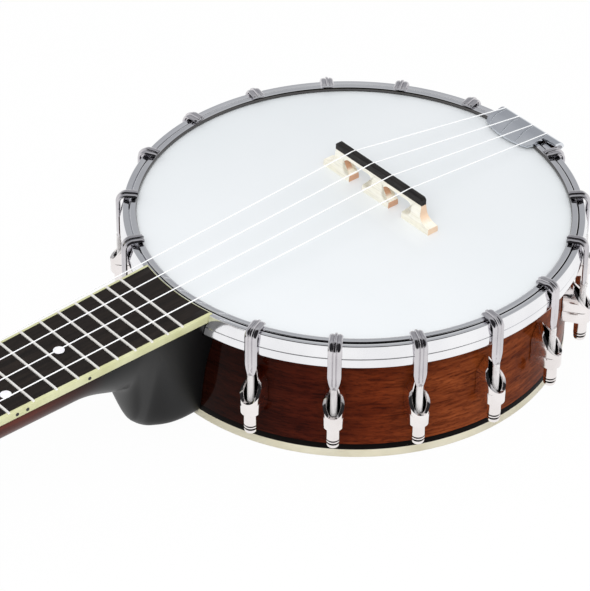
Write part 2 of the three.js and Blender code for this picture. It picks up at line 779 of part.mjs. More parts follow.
function makeHeadstock(toHead) {
  const plate = new THREE.ExtrudeGeometry(headstockOutline(), {
    depth: headstockThickness, bevelEnabled: false, curveSegments: arcSteps,
  });
  const holes = tunerPlaces().map(({ x, y }) => solid(bar(
    new THREE.Vector3(x, y, -headstockThickness - cutOverrun),
    new THREE.Vector3(x, y, cutOverrun),
    postRadius + fitGap,
    postSides,
  ).applyMatrix4(toHead)));
  const face = solid(plate.translate(0, 0, -headstockThickness).applyMatrix4(toHead));
  return face.subtract(joined(holes));
}

function makeNeck(toNeck, toHead) {
  const span = 2 * headstockLength;
  const above = solid(block(span, span, span, -neckLength - span, -headstockLength, neckTop));
  const behindNut = solid(block(span, span, span, -neckLength - span, -headstockLength, -headstockLength));
  const boltEnd = new THREE.Vector3(-rimRadius - rodHeelDepth - cutOverrun, 0, rodHeight);
  const boltHole = solid(bar(new THREE.Vector3(0, 0, rodHeight), boltEnd, rodStubRadius + fitGap,
    rodSides).applyMatrix4(toNeck));
  const faceCut = solid(block(span, span, headstockLength, -span, -headstockLength, 0)
    .applyMatrix4(toHead));
  const shaft = neckLoft().subtract(faceCut.intersect(behindNut));
  const room = potClearance(toNeck, hoopRadius + boardEndGap);
  return joined([shaft, makeHeadstock(toHead).subtract(above)]).subtract(room).subtract(boltHole);
}

// Fingerboard, with its frets seated in it

function fretPlace(number) {
  return -boardLength + scaleLength * (1 - 2 ** (-number / 12));
}

function makeFret(number) {
  const half = fretWidth / 2;
  const crown = half * fretCrownShare;
  const x = fretPlace(number);
  const outline = [[x - half, -fretHeight], [x + half, -fretHeight], [x + half, 0],
    [x + crown, fretHeight], [x - crown, fretHeight], [x - half, 0]];
  return solid(acrossY(outline, 2 * (boardHalfWidthAt(x) - bindingWidth)));
}

function makeFingerboard(toNeck) {
  const end = boardEndRadius - Math.sqrt(boardEndRadius ** 2 - boardBodyHalfWidth ** 2) + cutOverrun;
  const wide = boardHalfWidthAt(end);
  const narrow = boardNutHalfWidth;
  const plan = [[end, wide], [-boardLength, narrow], [-boardLength, -narrow], [end, -wide]];
  const board = solid(raised(plan, -boardThickness, boardThickness));
  const frets = Array.from({ length: fretCount }, (_, i) => makeFret(i + 1));
  return joined([board, ...frets]).subtract(potClearance(toNeck, boardEndRadius));
}

// The slots are level at the back and fall away towards the headstock, as the strings do.
function makeNutBar() {
  const back = -boardLength - fitGap;
  const front = -boardLength - nutBarLength + fitGap;
  const crest = nutCrestPlace();
  const outline = [[front, -boardThickness], [back, -boardThickness], [back, nutBarRise],
    [crest, nutBarRise], [front, 0]];
  const floor = nutBarRise - stringRadius;
  const slotFront = 2 * front - crest;
  const slotBack = back + cutOverrun;
  const slotTop = nutBarRise + cutOverrun;
  const slot = [[slotFront, floor - 2 * nutBarRise], [crest, floor], [slotBack, floor], [slotBack, slotTop],
    [slotFront, slotTop]];
  const slots = stringPlaces(nutSpacing).map((y) => solid(acrossY(slot, 2 * stringHoleSize)
    .translate(0, y, 0)));
  return solid(acrossY(outline, 2 * boardNutHalfWidth)).subtract(joined(slots));
}

function nutCrestPlace() {
  return -boardLength - nutBarLength / 2;
}

// Geared tuners, in the frame of the headstock: Z zero is its face

function housingFloor() {
  return -headstockThickness - fitGap - housingDepth;
}

function wormCentre() {
  return gearRadius + fitGap + wormRadius;
}

// The housing is a tray under the headstock, open towards it, with a bore for the worm's shaft
// and an ear for its screw.
function makeHousing({ x, y, side }) {
  const floor = housingFloor();
  const shell = solid(block(housingLength, housingWidth, housingDepth, x - housingLength / 2,
    y - housingWidth / 2, floor));
  const wall = housingWall;
  const room = solid(block(housingLength - 2 * wall, housingWidth - 2 * wall, housingDepth,
    x - housingLength / 2 + wall, y - housingWidth / 2 + wall, floor + wall));
  const shaftZ = floor + housingDepth / 2;
  const axisX = x - wormCentre();
  const bore = solid(bar(new THREE.Vector3(axisX, y, shaftZ),
    new THREE.Vector3(axisX, y + side * housingWidth, shaftZ), wormShaftRadius + fitGap, arcSteps));
  const earCentre = y - side * (housingWidth / 2 + earRadius / 2);
  const ear = solid(raised(arc(x, earCentre, earRadius, 0, 2 * Math.PI, nutSides).slice(1),
    floor + housingDepth - housingWall, housingWall));
  return shell.add(ear).subtract(room).subtract(bore);
}

// The post carries its gear wheel in the housing and narrows where the string winds.
function makePost({ x, y }) {
  const floor = housingFloor() + housingWall + fitGap;
  const gearBottom = housingFloor() + (housingDepth - gearThickness) / 2;
  const profile = [[0, floor], [postRadius, floor], [postRadius, gearBottom], [gearRadius, gearBottom],
    [gearRadius, gearBottom + gearThickness], [postRadius, gearBottom + gearThickness],
    [postRadius, postWaistStart], [postWaistRadius, postWaistStart + postCapRound],
    [postWaistRadius, postWaistStart + postWaistHeight - postCapRound],
    [postRadius, postWaistStart + postWaistHeight], [postRadius, postHeight - postCapRound],
    [postRadius - postCapRound, postHeight], [0, postHeight]];
  const holeZ = postWaistStart + postWaistHeight / 2;
  const hole = solid(bar(new THREE.Vector3(-2 * postRadius, 0, holeZ),
    new THREE.Vector3(2 * postRadius, 0, holeZ), stringHoleRadius, arcSteps));
  return solid(turned(profile, postSides)).subtract(hole).translate([x, y, 0]);
}

// The button is a flattened knob on the worm's shaft.
function makeButton({ x, y, side }) {
  const start = headstockHalfWidth + buttonGap;
  const shaftZ = housingFloor() + housingDepth / 2;
  const axisX = x - wormCentre();
  const at = (place) => new THREE.Vector3(axisX, side * place, shaftZ);
  const inner = Math.abs(y) - wormLength / 2;
  const worm = solid(bar(at(inner), at(inner + wormLength), wormRadius, arcSteps));
  const shaft = solid(bar(at(inner - wormShaftRadius), at(start + buttonLength / 2),
    wormShaftRadius - fitGap / 2, arcSteps));
  const collar = solid(bar(at(start - buttonCollarLength), at(start + buttonCollarLength / 2),
    buttonCollarRadius, nutSides));
  const knob = new THREE.SphereGeometry(1, buttonSides, buttonSides / 2).rotateX(Math.PI / 2)
    .scale(buttonHalfWidth, buttonLength / 2, buttonHalfThickness)
    .translate(axisX, side * (start + buttonLength / 2), shaftZ);
  return joined([worm, shaft, collar, solid(knob)]);
}

// Strings

function stringPlaces(spacing) {
  const middle = (stringCount - 1) / 2;
  return Array.from({ length: stringCount }, (_, i) => (middle - i) * spacing);
}

// Each string goes to the post on its own side: the outer ones to the near posts.
function postOfString(index) {
  const outer = index === 0 || index === stringCount - 1;
  const side = index < stringCount / 2 ? 1 : -1;
  return tunerPlaces().find((place) => place.side === side && place.row === (outer ? 0 : 1));
}

// The route from the post over the nut and the bridge, and down through the tailpiece slot.
function stringRoute(index, fromNeck, fromHead) {
  const post = postOfString(index);
  const clear = postWaistRadius + fitGap + stringRadius;
  const start = new THREE.Vector3(post.x, post.y - post.side * clear, postWaistStart + postWaistHeight / 2);
  const nutY = stringPlaces(nutSpacing)[index];
  const nutTop = new THREE.Vector3(nutCrestPlace(), nutY, nutBarRise + stringSeat);
  const bridgeY = stringPlaces(bridgeSpacing)[index];
  const saddleZ = bridgeTop - notchDepth + stringRadius + stringSeat;
  const saddle = new THREE.Vector3(bridgeOffset - bridgeShift, bridgeY, saddleZ);
  const tailY = stringPlaces(tailSpacing)[index];
  const slotX = plateRearReach - plateThickness;
  const crest = new THREE.Vector3(slotX, tailY, plateBottom + plateThickness + stringRadius);
  const knot = new THREE.Vector3(slotX + plateThickness / 2, tailY, potHeight - headDrop);
  return [start.applyMatrix4(fromHead), nutTop.applyMatrix4(fromNeck), saddle, crest, knot];
}

function makeString(route) {
  const stretches = route.slice(1)
    .map((point, i) => solid(bar(route[i], point, stringRadius, stringSides)));
  const corners = route.slice(1, -1).map((point) => solid(
    new THREE.SphereGeometry(stringRadius, stringSides, stringSides / 2).translate(point.x, point.y, point.z),
  ));
  return joined([...stretches, ...corners]);
}

// Assembly

const instrument = new THREE.Group();

instrument.add(piece('rim', makeRim(), rimWood));
instrument.add(piece('rim_binding', makeBinding(), creamPlastic));
instrument.add(piece('drum_head', makeDrumHead(), whiteSkin));
instrument.add(piece('flesh_hoop', makeFleshHoop(), chrome));
instrument.add(piece('tension_hoop', makeTensionHoop(), chrome));
instrument.add(piece('coordinator_rod', makeCoordinatorRod(), steel));
instrument.add(piece('tailpiece', makeTailpiece(), chrome));

const hook = makeHook();
const shoe = makeShoe();
hookAngles().forEach((angle, i) => {
  const number = String(i + 1).padStart(2, '0');
  const station = new THREE.Group();
  station.rotation.z = angle;
  station.add(piece(`hook_${number}`, hook, chrome));
  station.add(piece(`shoe_${number}`, shoe, chrome));
  instrument.add(station);
});

const bridgeGroup = new THREE.Group();
bridgeGroup.position.set(bridgeOffset - bridgeShift, 0, headTop);
bridgeGroup.add(piece('bridge', makeBridge(), mapleWood));
const cap = piece('bridge_cap', makeBridgeCap(), ebonyWood);
cap.position.z = bridgeHeight - capHeight;
bridgeGroup.add(cap);
instrument.add(bridgeGroup);

const neckGroup = new THREE.Group();
neckGroup.position.set(-boardEndRadius, 0, potHeight);
neckGroup.rotation.y = -neckTilt;
neckGroup.updateMatrix();
const headGroup = new THREE.Group();
headGroup.position.set(-neckLength, 0, neckTop - headstockFaceDrop);
headGroup.rotation.y = -headTilt;
headGroup.updateMatrix();
neckGroup.add(headGroup);
const toNeck = neckGroup.matrix.clone().invert();
const fromHead = neckGroup.matrix.clone().multiply(headGroup.matrix);

neckGroup.add(piece('neck', makeNeck(toNeck, headGroup.matrix), blackLacquer));
neckGroup.add(piece('fingerboard', makeFingerboard(toNeck), boardWood));
neckGroup.add(piece('nut', makeNutBar(), bone));
tunerPlaces().forEach((place, i) => {
  headGroup.add(piece(`tuner_housing_${i + 1}`, makeHousing(place), chrome));
  headGroup.add(piece(`string_post_${i + 1}`, makePost(place), chrome));
  headGroup.add(piece(`tuner_button_${i + 1}`, makeButton(place), chrome));
});
instrument.add(neckGroup);

stringPlaces(bridgeSpacing).forEach((_, i) => {
  const route = stringRoute(i, neckGroup.matrix, fromHead);
  instrument.add(piece(`string_${i + 1}`, makeString(route), nylon));
});

// The origin is the middle of the instrument's footprint, on the surface that it lies on.
const part = new THREE.Group();
part.add(instrument);
const box = new THREE.Box3().setFromObject(part, true);
const middle = box.getCenter(new THREE.Vector3());
instrument.position.set(-middle.x, -middle.y, -box.min.z);

export default part;
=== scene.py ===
# %% [markdown]
# # A banjo ukulele, dressed in Blender
# The instrument is a small drum with a neck: a bent wooden rim, a white skin pulled tight by sixteen
# hooks, a metal hoop, a bridge, a tailpiece, a fretted neck and four nylon strings. The working model
# gives every size and joint. This lesson puts a fine surface and a finish over each of its pieces.

# %% Load the working model
import math
import bpy
import numpy as np
from mathutils import Matrix, Vector


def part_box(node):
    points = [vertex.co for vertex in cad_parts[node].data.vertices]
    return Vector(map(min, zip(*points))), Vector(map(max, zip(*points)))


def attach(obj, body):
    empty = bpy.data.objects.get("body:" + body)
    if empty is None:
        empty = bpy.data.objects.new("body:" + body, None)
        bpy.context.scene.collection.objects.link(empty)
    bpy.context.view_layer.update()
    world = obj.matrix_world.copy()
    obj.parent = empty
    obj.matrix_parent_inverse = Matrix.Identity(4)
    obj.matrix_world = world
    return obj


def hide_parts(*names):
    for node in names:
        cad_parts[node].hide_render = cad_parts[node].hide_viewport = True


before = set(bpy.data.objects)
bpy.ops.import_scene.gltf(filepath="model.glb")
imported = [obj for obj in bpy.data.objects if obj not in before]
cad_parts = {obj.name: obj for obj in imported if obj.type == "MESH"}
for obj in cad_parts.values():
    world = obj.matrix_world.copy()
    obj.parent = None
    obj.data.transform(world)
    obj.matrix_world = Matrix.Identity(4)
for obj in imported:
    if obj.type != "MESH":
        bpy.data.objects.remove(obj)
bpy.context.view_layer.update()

# %% [markdown]
# ## Measures
# The pieces are drawn in millimetres around the middle of the pot, with the skin facing up, the neck
# towards -X and the tail towards +X. A wrong radius would show as a gap, so the main ones are read from
# the model's own boxes instead of being typed again.

# %% Measures of the pot
MM = 0.001


def size_of(node):
    """The lowest and highest corner of a node, in millimetres about the middle of the pot's back."""
    low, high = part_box(node)
    return (np.array(low) - pot_centre) / MM, (np.array(high) - pot_centre) / MM


rim_low, rim_high = (np.array(corner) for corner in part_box("rim"))
pot_centre = np.array([(rim_low[0] + rim_high[0]) / 2, (rim_low[1] + rim_high[1]) / 2, rim_low[2]])
rim_radius, _, rim_top = size_of("rim")[1]
hoop_radius, _, pot_height = size_of("tension_hoop")[1]
skirt_bottom = size_of("tension_hoop")[0][2]
flesh_bottom, flesh_top = (corner[2] for corner in size_of("flesh_hoop"))
skin_radius, _, head_top = size_of("drum_head")[1]
skin_bottom = size_of("drum_head")[0][2]
binding_height = size_of("rim_binding")[1][2]
print("rim radius, pot and skin in mm:", np.round([rim_radius, pot_height, head_top], 2).tolist())

# %% [markdown]
# ## The camera
# A picture matches a photograph only if it is taken from the same place. The position was found from
# the round hoops, the frets and the hooks: the camera stands back, turned 40 degrees towards the tail,
# looks down 37 degrees, and has a long lens, so the round pot shows little perspective.

# %% Camera
camera_turn = math.radians(-40.046)
camera_height = math.radians(36.621)
camera_roll = math.radians(0.621)
camera_reach = 1464.147
camera_offset = (27.441, 41.751)
focal_length = 191.83
sensor_width = 36


def add_object(name, data):
    """A new object of the scene that shows the data."""
    made = bpy.data.objects.new(name, data)
    bpy.context.scene.collection.objects.link(made)
    return made


def place_camera():
    """The camera looks along the direction of its turn and height. Its roll turns its right and up
    directions about that line, and it stands at its reach and offsets from the middle of the skin."""
    back = np.array([
        math.sin(camera_turn) * math.cos(camera_height),
        -math.cos(camera_turn) * math.cos(camera_height),
        math.sin(camera_height),
    ])
    level = np.array([math.cos(camera_turn), math.sin(camera_turn), 0])
    upright = np.cross(back, level)
    right = math.cos(camera_roll) * level + math.sin(camera_roll) * upright
    up = math.cos(camera_roll) * upright - math.sin(camera_roll) * level
    aim = pot_centre + np.array([0, 0, pot_height]) * MM
    place = aim + MM * (camera_reach * back - camera_offset[0] * right - camera_offset[1] * up)
    turn = Matrix(np.stack([right, up, back], axis=1).tolist()).to_4x4()
    camera = add_object("camera", bpy.data.cameras.new("camera"))
    camera.matrix_world = Matrix.Translation(Vector(place)) @ turn
    camera.data.lens = focal_length
    camera.data.sensor_width = sensor_width
    camera.data.sensor_fit = "HORIZONTAL"
    camera.data.clip_end = 20
    bpy.context.scene.camera = camera
    return camera


print("camera at", [round(v, 3) for v in place_camera().matrix_world.translation])

# %% [markdown]
# ## Surfaces from arrays
# Almost everything here is turned, bent or carved, so each surface is a grid of points worked out by a
# formula: one direction runs along the piece, the other goes round it. Whole arrays are computed at
# once, which is short to write and exact, where pushing single vertices about would be neither.

# %% Outlines
def rounded(corners, reach, steps=4):
    """A closed outline with rounded corners. Each corner becomes a quadratic curve that leaves one side
    at the reach before the corner and joins the next side at the same reach after it."""
    corners = np.asarray(corners, float)
    reach = np.broadcast_to(np.maximum(reach, 0.01), len(corners))
    back = np.roll(corners, 1, axis=0) - corners
    ahead = np.roll(corners, -1, axis=0) - corners
    back_length = np.linalg.norm(back, axis=1)
    ahead_length = np.linalg.norm(ahead, axis=1)
    cut = np.minimum(reach, 0.49 * np.minimum(back_length, ahead_length))
    start = corners + back * (cut / back_length)[:, None]
    end = corners + ahead * (cut / ahead_length)[:, None]
    t = np.linspace(0, 1, steps + 1)[:, None]
    curves = (1 - t) ** 2 * start[:, None] + 2 * t * (1 - t) * corners[:, None] + t ** 2 * end[:, None]
    return curves.reshape(-1, corners.shape[1])


def smooth_path(points, reach, steps=6):
    """An open line of points with its inner corners rounded like an outline's."""
    points = np.asarray(points, float)
    size = points.shape[1]
    closed = rounded(points, reach, steps).reshape(len(points), steps + 1, size)
    return np.vstack([points[:1], closed[1:-1].reshape(-1, size), points[-1:]])


def inset(outline, distance):
    """The outline moved inwards: each point goes against its normal, which is the difference of its
    neighbours turned by a right angle."""
    along = np.roll(outline, -1, axis=0) - np.roll(outline, 1, axis=0)
    normal = np.stack([along[:, 1], -along[:, 0]], axis=1)
    normal /= np.linalg.norm(normal, axis=1)[:, None]
    after = np.roll(outline, -1, axis=0)
    area = (outline[:, 0] * after[:, 1] - after[:, 0] * outline[:, 1]).sum()
    return outline - np.sign(area) * distance * normal


def box_corners(left, right, low, high):
    """The corners of a box, in the order in which an outline goes round it."""
    return [[left, low], [right, low], [right, high], [left, high]]


print("corner test:", rounded(box_corners(0, 1, 0, 1), 0.2).shape)

# %% [markdown]
# ### Circles and paths
# A strap or a pressed sheet is a section that follows a bent line. Such a line needs two things: which
# way it runs at each point, and points that are evenly spaced along it, whatever the spacing it was
# drawn with. Both are short sums over whole arrays.

# %% Circles and paths
def spokes(angles):
    """The unit vectors of angles: the cosine and the sine of each."""
    return np.column_stack([np.cos(angles), np.sin(angles)])


def full_turn(count):
    """The angles of a full turn in even steps."""
    return np.linspace(0, 2 * math.pi, count, endpoint=False)


def directions(path):
    """The unit direction of a path at each point: the slope of its coordinates over its length."""
    along = np.gradient(path, axis=0)
    return along / np.linalg.norm(along, axis=1)[:, None]


def walked(path, count):
    """Even lengths along a path, and the path's points at those lengths."""
    steps = np.linalg.norm(np.diff(path, axis=0), axis=1)
    lengths = np.concatenate([[0], np.cumsum(steps)])
    s = np.linspace(0, lengths[-1], count)
    return s, np.column_stack([np.interp(s, lengths, values) for values in path.T])


print("middle of a line from 0, 0 to 3, 4:", walked(np.array([[0, 0], [3, 4]]), 3)[1][1].tolist())

# %% [markdown]
# ### From a grid to a closed surface
# A grid of points becomes a surface when each small square of it gets a face. One function does this
# for every shape here. A closed skin has to face outwards, as a real piece's surface does, so the
# function works out the volume and turns the faces over where it is negative.

# %% Skins over grids
def skin(grid, ring=True, loop=False, caps=True):
    """Faces over a grid of points. A face joins point (i, j) to (i + 1, j), (i + 1, j + 1) and
    (i, j + 1). A ring joins the last column to the first, a loop the last row to the first, and caps
    close the first and last rows with fans to their mean points. If the volume, the sum of the triple
    products of the triangles, comes out negative, every face is turned over."""
    grid = np.asarray(grid, float)
    rows, columns = grid.shape[:2]
    index = np.arange(rows * columns).reshape(rows, columns)
    weave = np.hstack([index, index[:, :1]]) if ring else index
    weave = np.vstack([weave, weave[:1]]) if loop else weave
    quads = np.stack([weave[:-1, :-1], weave[1:, :-1], weave[1:, 1:], weave[:-1, 1:]], -1)
    quads = quads.reshape(-1, 4)
    points = grid.reshape(-1, 3)
    triangles = np.zeros((0, 3), int)
    if caps and not loop:
        hub = np.full(columns, len(points))
        first, last = index[0], index[-1]
        triangles = np.vstack([
            np.stack([first, np.roll(first, -1), hub], -1),
            np.stack([np.roll(last, -1), last, hub + 1], -1),
        ])
        points = np.vstack([points, grid[0].mean(axis=0), grid[-1].mean(axis=0)])
    split = np.vstack([quads[:, [0, 1, 2]], quads[:, [0, 2, 3]], triangles])
    a, b, c = (points[split[:, k]] - points.mean(axis=0) for k in range(3))
    if np.einsum("ij,ij->", a, np.cross(b, c)) < 0:
        quads = quads[:, ::-1]
        triangles = triangles[:, ::-1]
    return points, quads, triangles


small_grid = np.stack(np.meshgrid(range(3), range(4), [0.0]), -1)[:, :, 0]
print("a sheet of 4 by 3 points has", len(skin(small_grid, False, False, False)[1]), "square faces")

# %% [markdown]
# ### Turned, raised and drawn shapes
# Most parts of an instrument leave one of three machines: a lathe turns them, a saw cuts them out of a
# board, or they are drawn as wire. Each machine is a function that works out a grid and skins it.

# %% Turned, raised and drawn shapes
def lathe(profile, segments=360, axis_x=0.0):
    """A profile of radius and height turned about an upright axis: x = radius cos a, y = radius sin a.
    It is closed by fans where its ends lie on the axis, and closes on itself where it is a ring."""
    profile = np.asarray(profile, float)
    a = full_turn(segments)
    radius, height = profile[:, 0][:, None], profile[:, 1][:, None]
    on_axis = profile[0, 0] < 0.01
    radius = np.maximum(radius, 0.05)
    grid = np.stack([axis_x + radius * np.cos(a), radius * np.sin(a), height + 0 * a], -1)
    return skin(grid, loop=not on_axis, caps=on_axis)


def upright(outline, bottom, top, edge=0.3, steps=3):
    """An outline of x and y raised from bottom to top. Near both ends it draws in along a quarter
    circle of the edge's size."""
    t = np.linspace(0, math.pi / 2, steps + 1)
    inward = edge * np.concatenate([1 - np.sin(t), 1 - np.sin(t)[::-1]])
    height = np.concatenate([bottom + edge * (1 - np.cos(t)), (top - edge * (1 - np.cos(t)))[::-1]])
    rows = [np.column_stack([inset(outline, d), np.full(len(outline), z)])
            for d, z in zip(inward, height)]
    return skin(np.stack(rows))


def tube(path, radius, sides=12):
    """A round skin along a path: each ring lies in the plane square to the path there, spanned by a
    level direction and the direction square to both."""
    path = np.asarray(path, float)
    along = directions(path)
    level = np.cross(along, [0.05, 0.02, 1.0])
    level /= np.linalg.norm(level, axis=1)[:, None]
    across = np.cross(level, along)
    a = full_turn(sides)[None, :, None]
    radius = np.broadcast_to(radius, len(path))[:, None, None]
    return skin(path[:, None] + radius * (np.cos(a) * level[:, None] + np.sin(a) * across[:, None]))


def moved(shell, change):
    """The shell with its points put through a function."""
    return (change(shell[0]), *shell[1:])


print("a test ring has", len(lathe([[1, 0], [2, 0], [2, 1]], 12)[1]), "faces")

# %% [markdown]
# ### From surfaces to pieces
# A piece on the bench may have several surfaces, such as a button and its shaft, and it belongs to one
# moving part of the instrument. So one helper joins the surfaces, gives them a finish and says which
# part they ride on and which solids they stand for. Cutting is left to the exact Boolean, because a cut
# through a curved hoop is hard to work out by hand.

# %% Pieces
def add_piece(name, shells, finish, nodes=(), body="instrument", crease=38):
    """One object from several shells in millimetres. It rides on a body, stands for the nodes of the
    working model that it covers, and is smooth but where faces meet at more than the crease."""
    starts = np.cumsum([0] + [len(shell[0]) for shell in shells])
    points = pot_centre + MM * np.vstack([shell[0] for shell in shells])
    quads = np.vstack([shell[1] + start for shell, start in zip(shells, starts)])
    triangles = np.vstack([shell[2] + start for shell, start in zip(shells, starts)])
    corners = np.concatenate([quads.ravel(), triangles.ravel()]).astype(np.int32)
    sizes = np.concatenate([np.full(len(quads), 4), np.full(len(triangles), 3)])
    mesh = bpy.data.meshes.new(name)
    mesh.vertices.add(len(points))
    mesh.vertices.foreach_set("co", points.astype(np.float32).ravel())
    mesh.loops.add(len(corners))
    mesh.loops.foreach_set("vertex_index", corners)
    mesh.polygons.add(len(sizes))
    first_corners = np.concatenate([[0], np.cumsum(sizes)[:-1]]).astype(np.int32)
    mesh.polygons.foreach_set("loop_start", first_corners)
    mesh.update(calc_edges=True)
    mesh.validate()
    mesh.shade_smooth()
    mesh.set_sharp_from_angle(angle=math.radians(crease))
    mesh.materials.append(finish)
    piece = add_object(name, mesh)
    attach(piece, body)
    if nodes:
        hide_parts(*nodes)
    return piece


def carve(piece, shells, crease=38):
    """Cuts shells out of a piece with a Boolean modifier that is then applied."""
    cutter = add_piece(piece.name + "_cutter", shells, piece.data.materials[0])
    change = piece.modifiers.new("carve", "BOOLEAN")
    change.operation = "DIFFERENCE"
    change.solver = "EXACT"
    change.object = cutter
    result = bpy.data.meshes.new_from_object(piece.evaluated_get(bpy.context.evaluated_depsgraph_get()))
    piece.modifiers.clear()
    piece.data = result
    result.set_sharp_from_angle(angle=math.radians(crease))
    bpy.data.objects.remove(cutter)
    return piece


def set_painted_shade(piece, shares):
    """Gives each point of a piece its share of painted shade, stored as the hollow attribute, which the
    metals read.
    """
    shade_attribute = piece.data.attributes.new("hollow", "FLOAT", "POINT")
    shade_attribute.data.foreach_set("value", np.asarray(shares, float))


# %% [markdown]
# ## Finishes
# Each finish is a small net of nodes on the Principled shader. Patterns read Object coordinates, which
# are metres on the instrument itself, so they stay put when a part turns. A value that is the same all
# over a surface is set on the shader, and only what varies is wired.

# %% Colours, nodes and shaders
def colour(red, green, blue):
    """An everyday screen colour of 0 to 255 as the linear colour that the shader needs."""
    shares = np.array([red, green, blue]) / 255
    linear = np.where(shares <= 0.04045, shares / 12.92, ((shares + 0.055) / 1.055) ** 2.4)
    return (*linear.tolist(), 1.0)


white = colour(255, 255, 255)


def node(material, kind, inputs=None, **settings):
    """A node with its settings. An input is wired if it is a socket and set if it is a value."""
    tree = material.node_tree
    made = tree.nodes.new("ShaderNode" + kind)
    for name, value in settings.items():
        setattr(made, name, value)
    for name, value in (inputs or {}).items():
        socket = made.inputs[name]
        if isinstance(value, bpy.types.NodeSocket):
            tree.links.new(value, socket)
        else:
            socket.default_value = value
    return made


def worked(material, operation, first, second=0.0):
    """A number worked out from one or two others."""
    return node(material, "Math", {0: first, 1: second}, operation=operation).outputs[0]


def new_finish(name, **values):
    """A material and its shader, with the shader's plain values set."""
    material = bpy.data.materials.new(name)
    material.use_nodes = True
    shader = material.node_tree.nodes["Principled BSDF"]
    for key, value in values.items():
        shader.inputs[key.replace("_", " ").title().replace("Ior", "IOR")].default_value = value
    return material, shader


print("middle grey as the shader wants it:", round(colour(128, 128, 128)[0], 3))

# %% [markdown]
# ### Patterns
# A pattern is a number or a colour that changes from place to place. Noise gives clouds, grain and
# grit, depending on how its coordinates are stretched, and ramps and mixes turn it into tints. Very
# small relief comes from a bump, because no eye or cutter would find it in the shape.

# %% Patterns
def object_place(material, scale=(1, 1, 1)):
    """Object coordinates measured from the middle of the pot, and stretched."""
    place = node(material, "TexCoord").outputs["Object"]
    shift = node(material, "Mapping", {"Vector": place, "Location": [-v for v in pot_centre]})
    return node(material, "Mapping", {"Vector": shift.outputs[0], "Scale": scale}).outputs[0]


def axes(material):
    """The X, Y and Z of the Object coordinates."""
    return node(material, "SeparateXYZ", {"Vector": object_place(material)}).outputs


def noise(material, place, scale, detail=4.0, roughness=0.55):
    """A noise of about 0 to 1: more detail and more roughness both make it finer."""
    inputs = {"Vector": place, "Scale": scale, "Detail": detail, "Roughness": roughness}
    return node(material, "TexNoise", inputs).outputs["Fac"]


def ramp(material, value, stops):
    """A colour ramp: each stop is a place from 0 to 1 and a colour."""
    made = node(material, "ValToRGB", {"Fac": value})
    band = made.color_ramp
    while len(band.elements) < len(stops):
        band.elements.new(0.5)
    for element, (place, tint) in zip(band.elements, stops):
        element.position = place
        element.color = tint
    return made.outputs["Color"]


def spread(material, value, low, high, new_low=0.0, new_high=1.0):
    """A value moved from one range to another, and held at the ends."""
    inputs = {"Value": value, "From Min": low, "From Max": high, "To Min": new_low, "To Max": new_high}
    return node(material, "MapRange", inputs).outputs[0]


def blended(material, share, first, second, kind="MIX"):
    """Two colours mixed by a share: 0 is the first and 1 the second."""
    made = node(material, "Mix", data_type="RGBA", blend_type=kind)
    for socket, value in ((made.inputs[0], share), (made.inputs[6], first), (made.inputs[7], second)):
        if isinstance(value, bpy.types.NodeSocket):
            material.node_tree.links.new(value, socket)
        else:
            socket.default_value = value
    return made.outputs[2]


def wire(material, shader, **sockets):
    """Wires sockets to the shader's inputs, whose names are written with lines for their spaces."""
    for name, socket in sockets.items():
        material.node_tree.links.new(socket, shader.inputs[name.replace("_", " ").title()])


def bump(material, shader, height, strength, depth):
    """Small relief from a height: depth is in metres."""
    made = node(material, "Bump", {"Height": height, "Strength": strength, "Distance": depth})
    material.node_tree.links.new(made.outputs[0], shader.inputs["Normal"])


print("patterns are measured from", np.round(pot_centre, 3).tolist())

# %% [markdown]
# ### Metals
# The hoops, hooks, shoes and tailpiece are chrome plate. Real plate isn't a perfect mirror: polishing
# leaves faint waves and hairlines, and its greyness shifts a little from piece to piece. Low roughness,
# broken by two scales of noise, gives that, where one fixed number would look like plastic foil.

# %% Metals
def metal(name, tint, dull, shine, wave=0.00002, metallic=1.0):
    """Plate with a tint that drifts to a duller one, and a roughness that drifts about its shine. A
    piece may carry a hollow attribute, which is 1 deep inside it: there the plate's tint is mixed
    towards a dark brown-grey, painted shade for the dark that those recesses hold."""
    material, shader = new_finish(name, metallic=metallic)
    place = object_place(material)
    cloud = noise(material, place, 35.0)
    grit = noise(material, place, 900.0, 2.0)
    plate_tint = blended(material, spread(material, cloud, 0.35, 0.7), tint, dull)
    # painted shade: where the hollow attribute is high, the plate's tint is mixed towards dark
    # brown-grey
    hollow = node(material, "Attribute", attribute_name="hollow").outputs["Fac"]
    wire(material, shader, Base_Color=blended(material, hollow, plate_tint, colour(58, 52, 48)))
    wire(material, shader, Roughness=spread(material, cloud, 0.3, 0.7, shine * 0.75, shine * 1.4))
    bump(material, shader, grit, 0.25, wave)
    return material


chrome = metal("polished_chrome", colour(243, 243, 245), colour(232, 232, 235), 0.08)
hook_chrome = metal("hook_chrome", colour(218, 215, 218), colour(190, 187, 191), 0.15, 0.00003)
shoe_chrome = metal("shoe_chrome", colour(244, 239, 238), colour(226, 220, 218), 0.10)
plate_chrome = metal("tailpiece_chrome", colour(226, 229, 234), colour(212, 215, 221), 0.07)
rod_steel = metal("threaded_steel", colour(250, 247, 246), colour(215, 211, 210), 0.34, 0.00005,
                  metallic=0.3)
fret_silver = metal("fret_silver", colour(252, 250, 246), colour(240, 237, 231), 0.3, metallic=0.35)
metals = (chrome, hook_chrome, shoe_chrome, plate_chrome, rod_steel, fret_silver)
print("metals:", [material.name for material in metals])
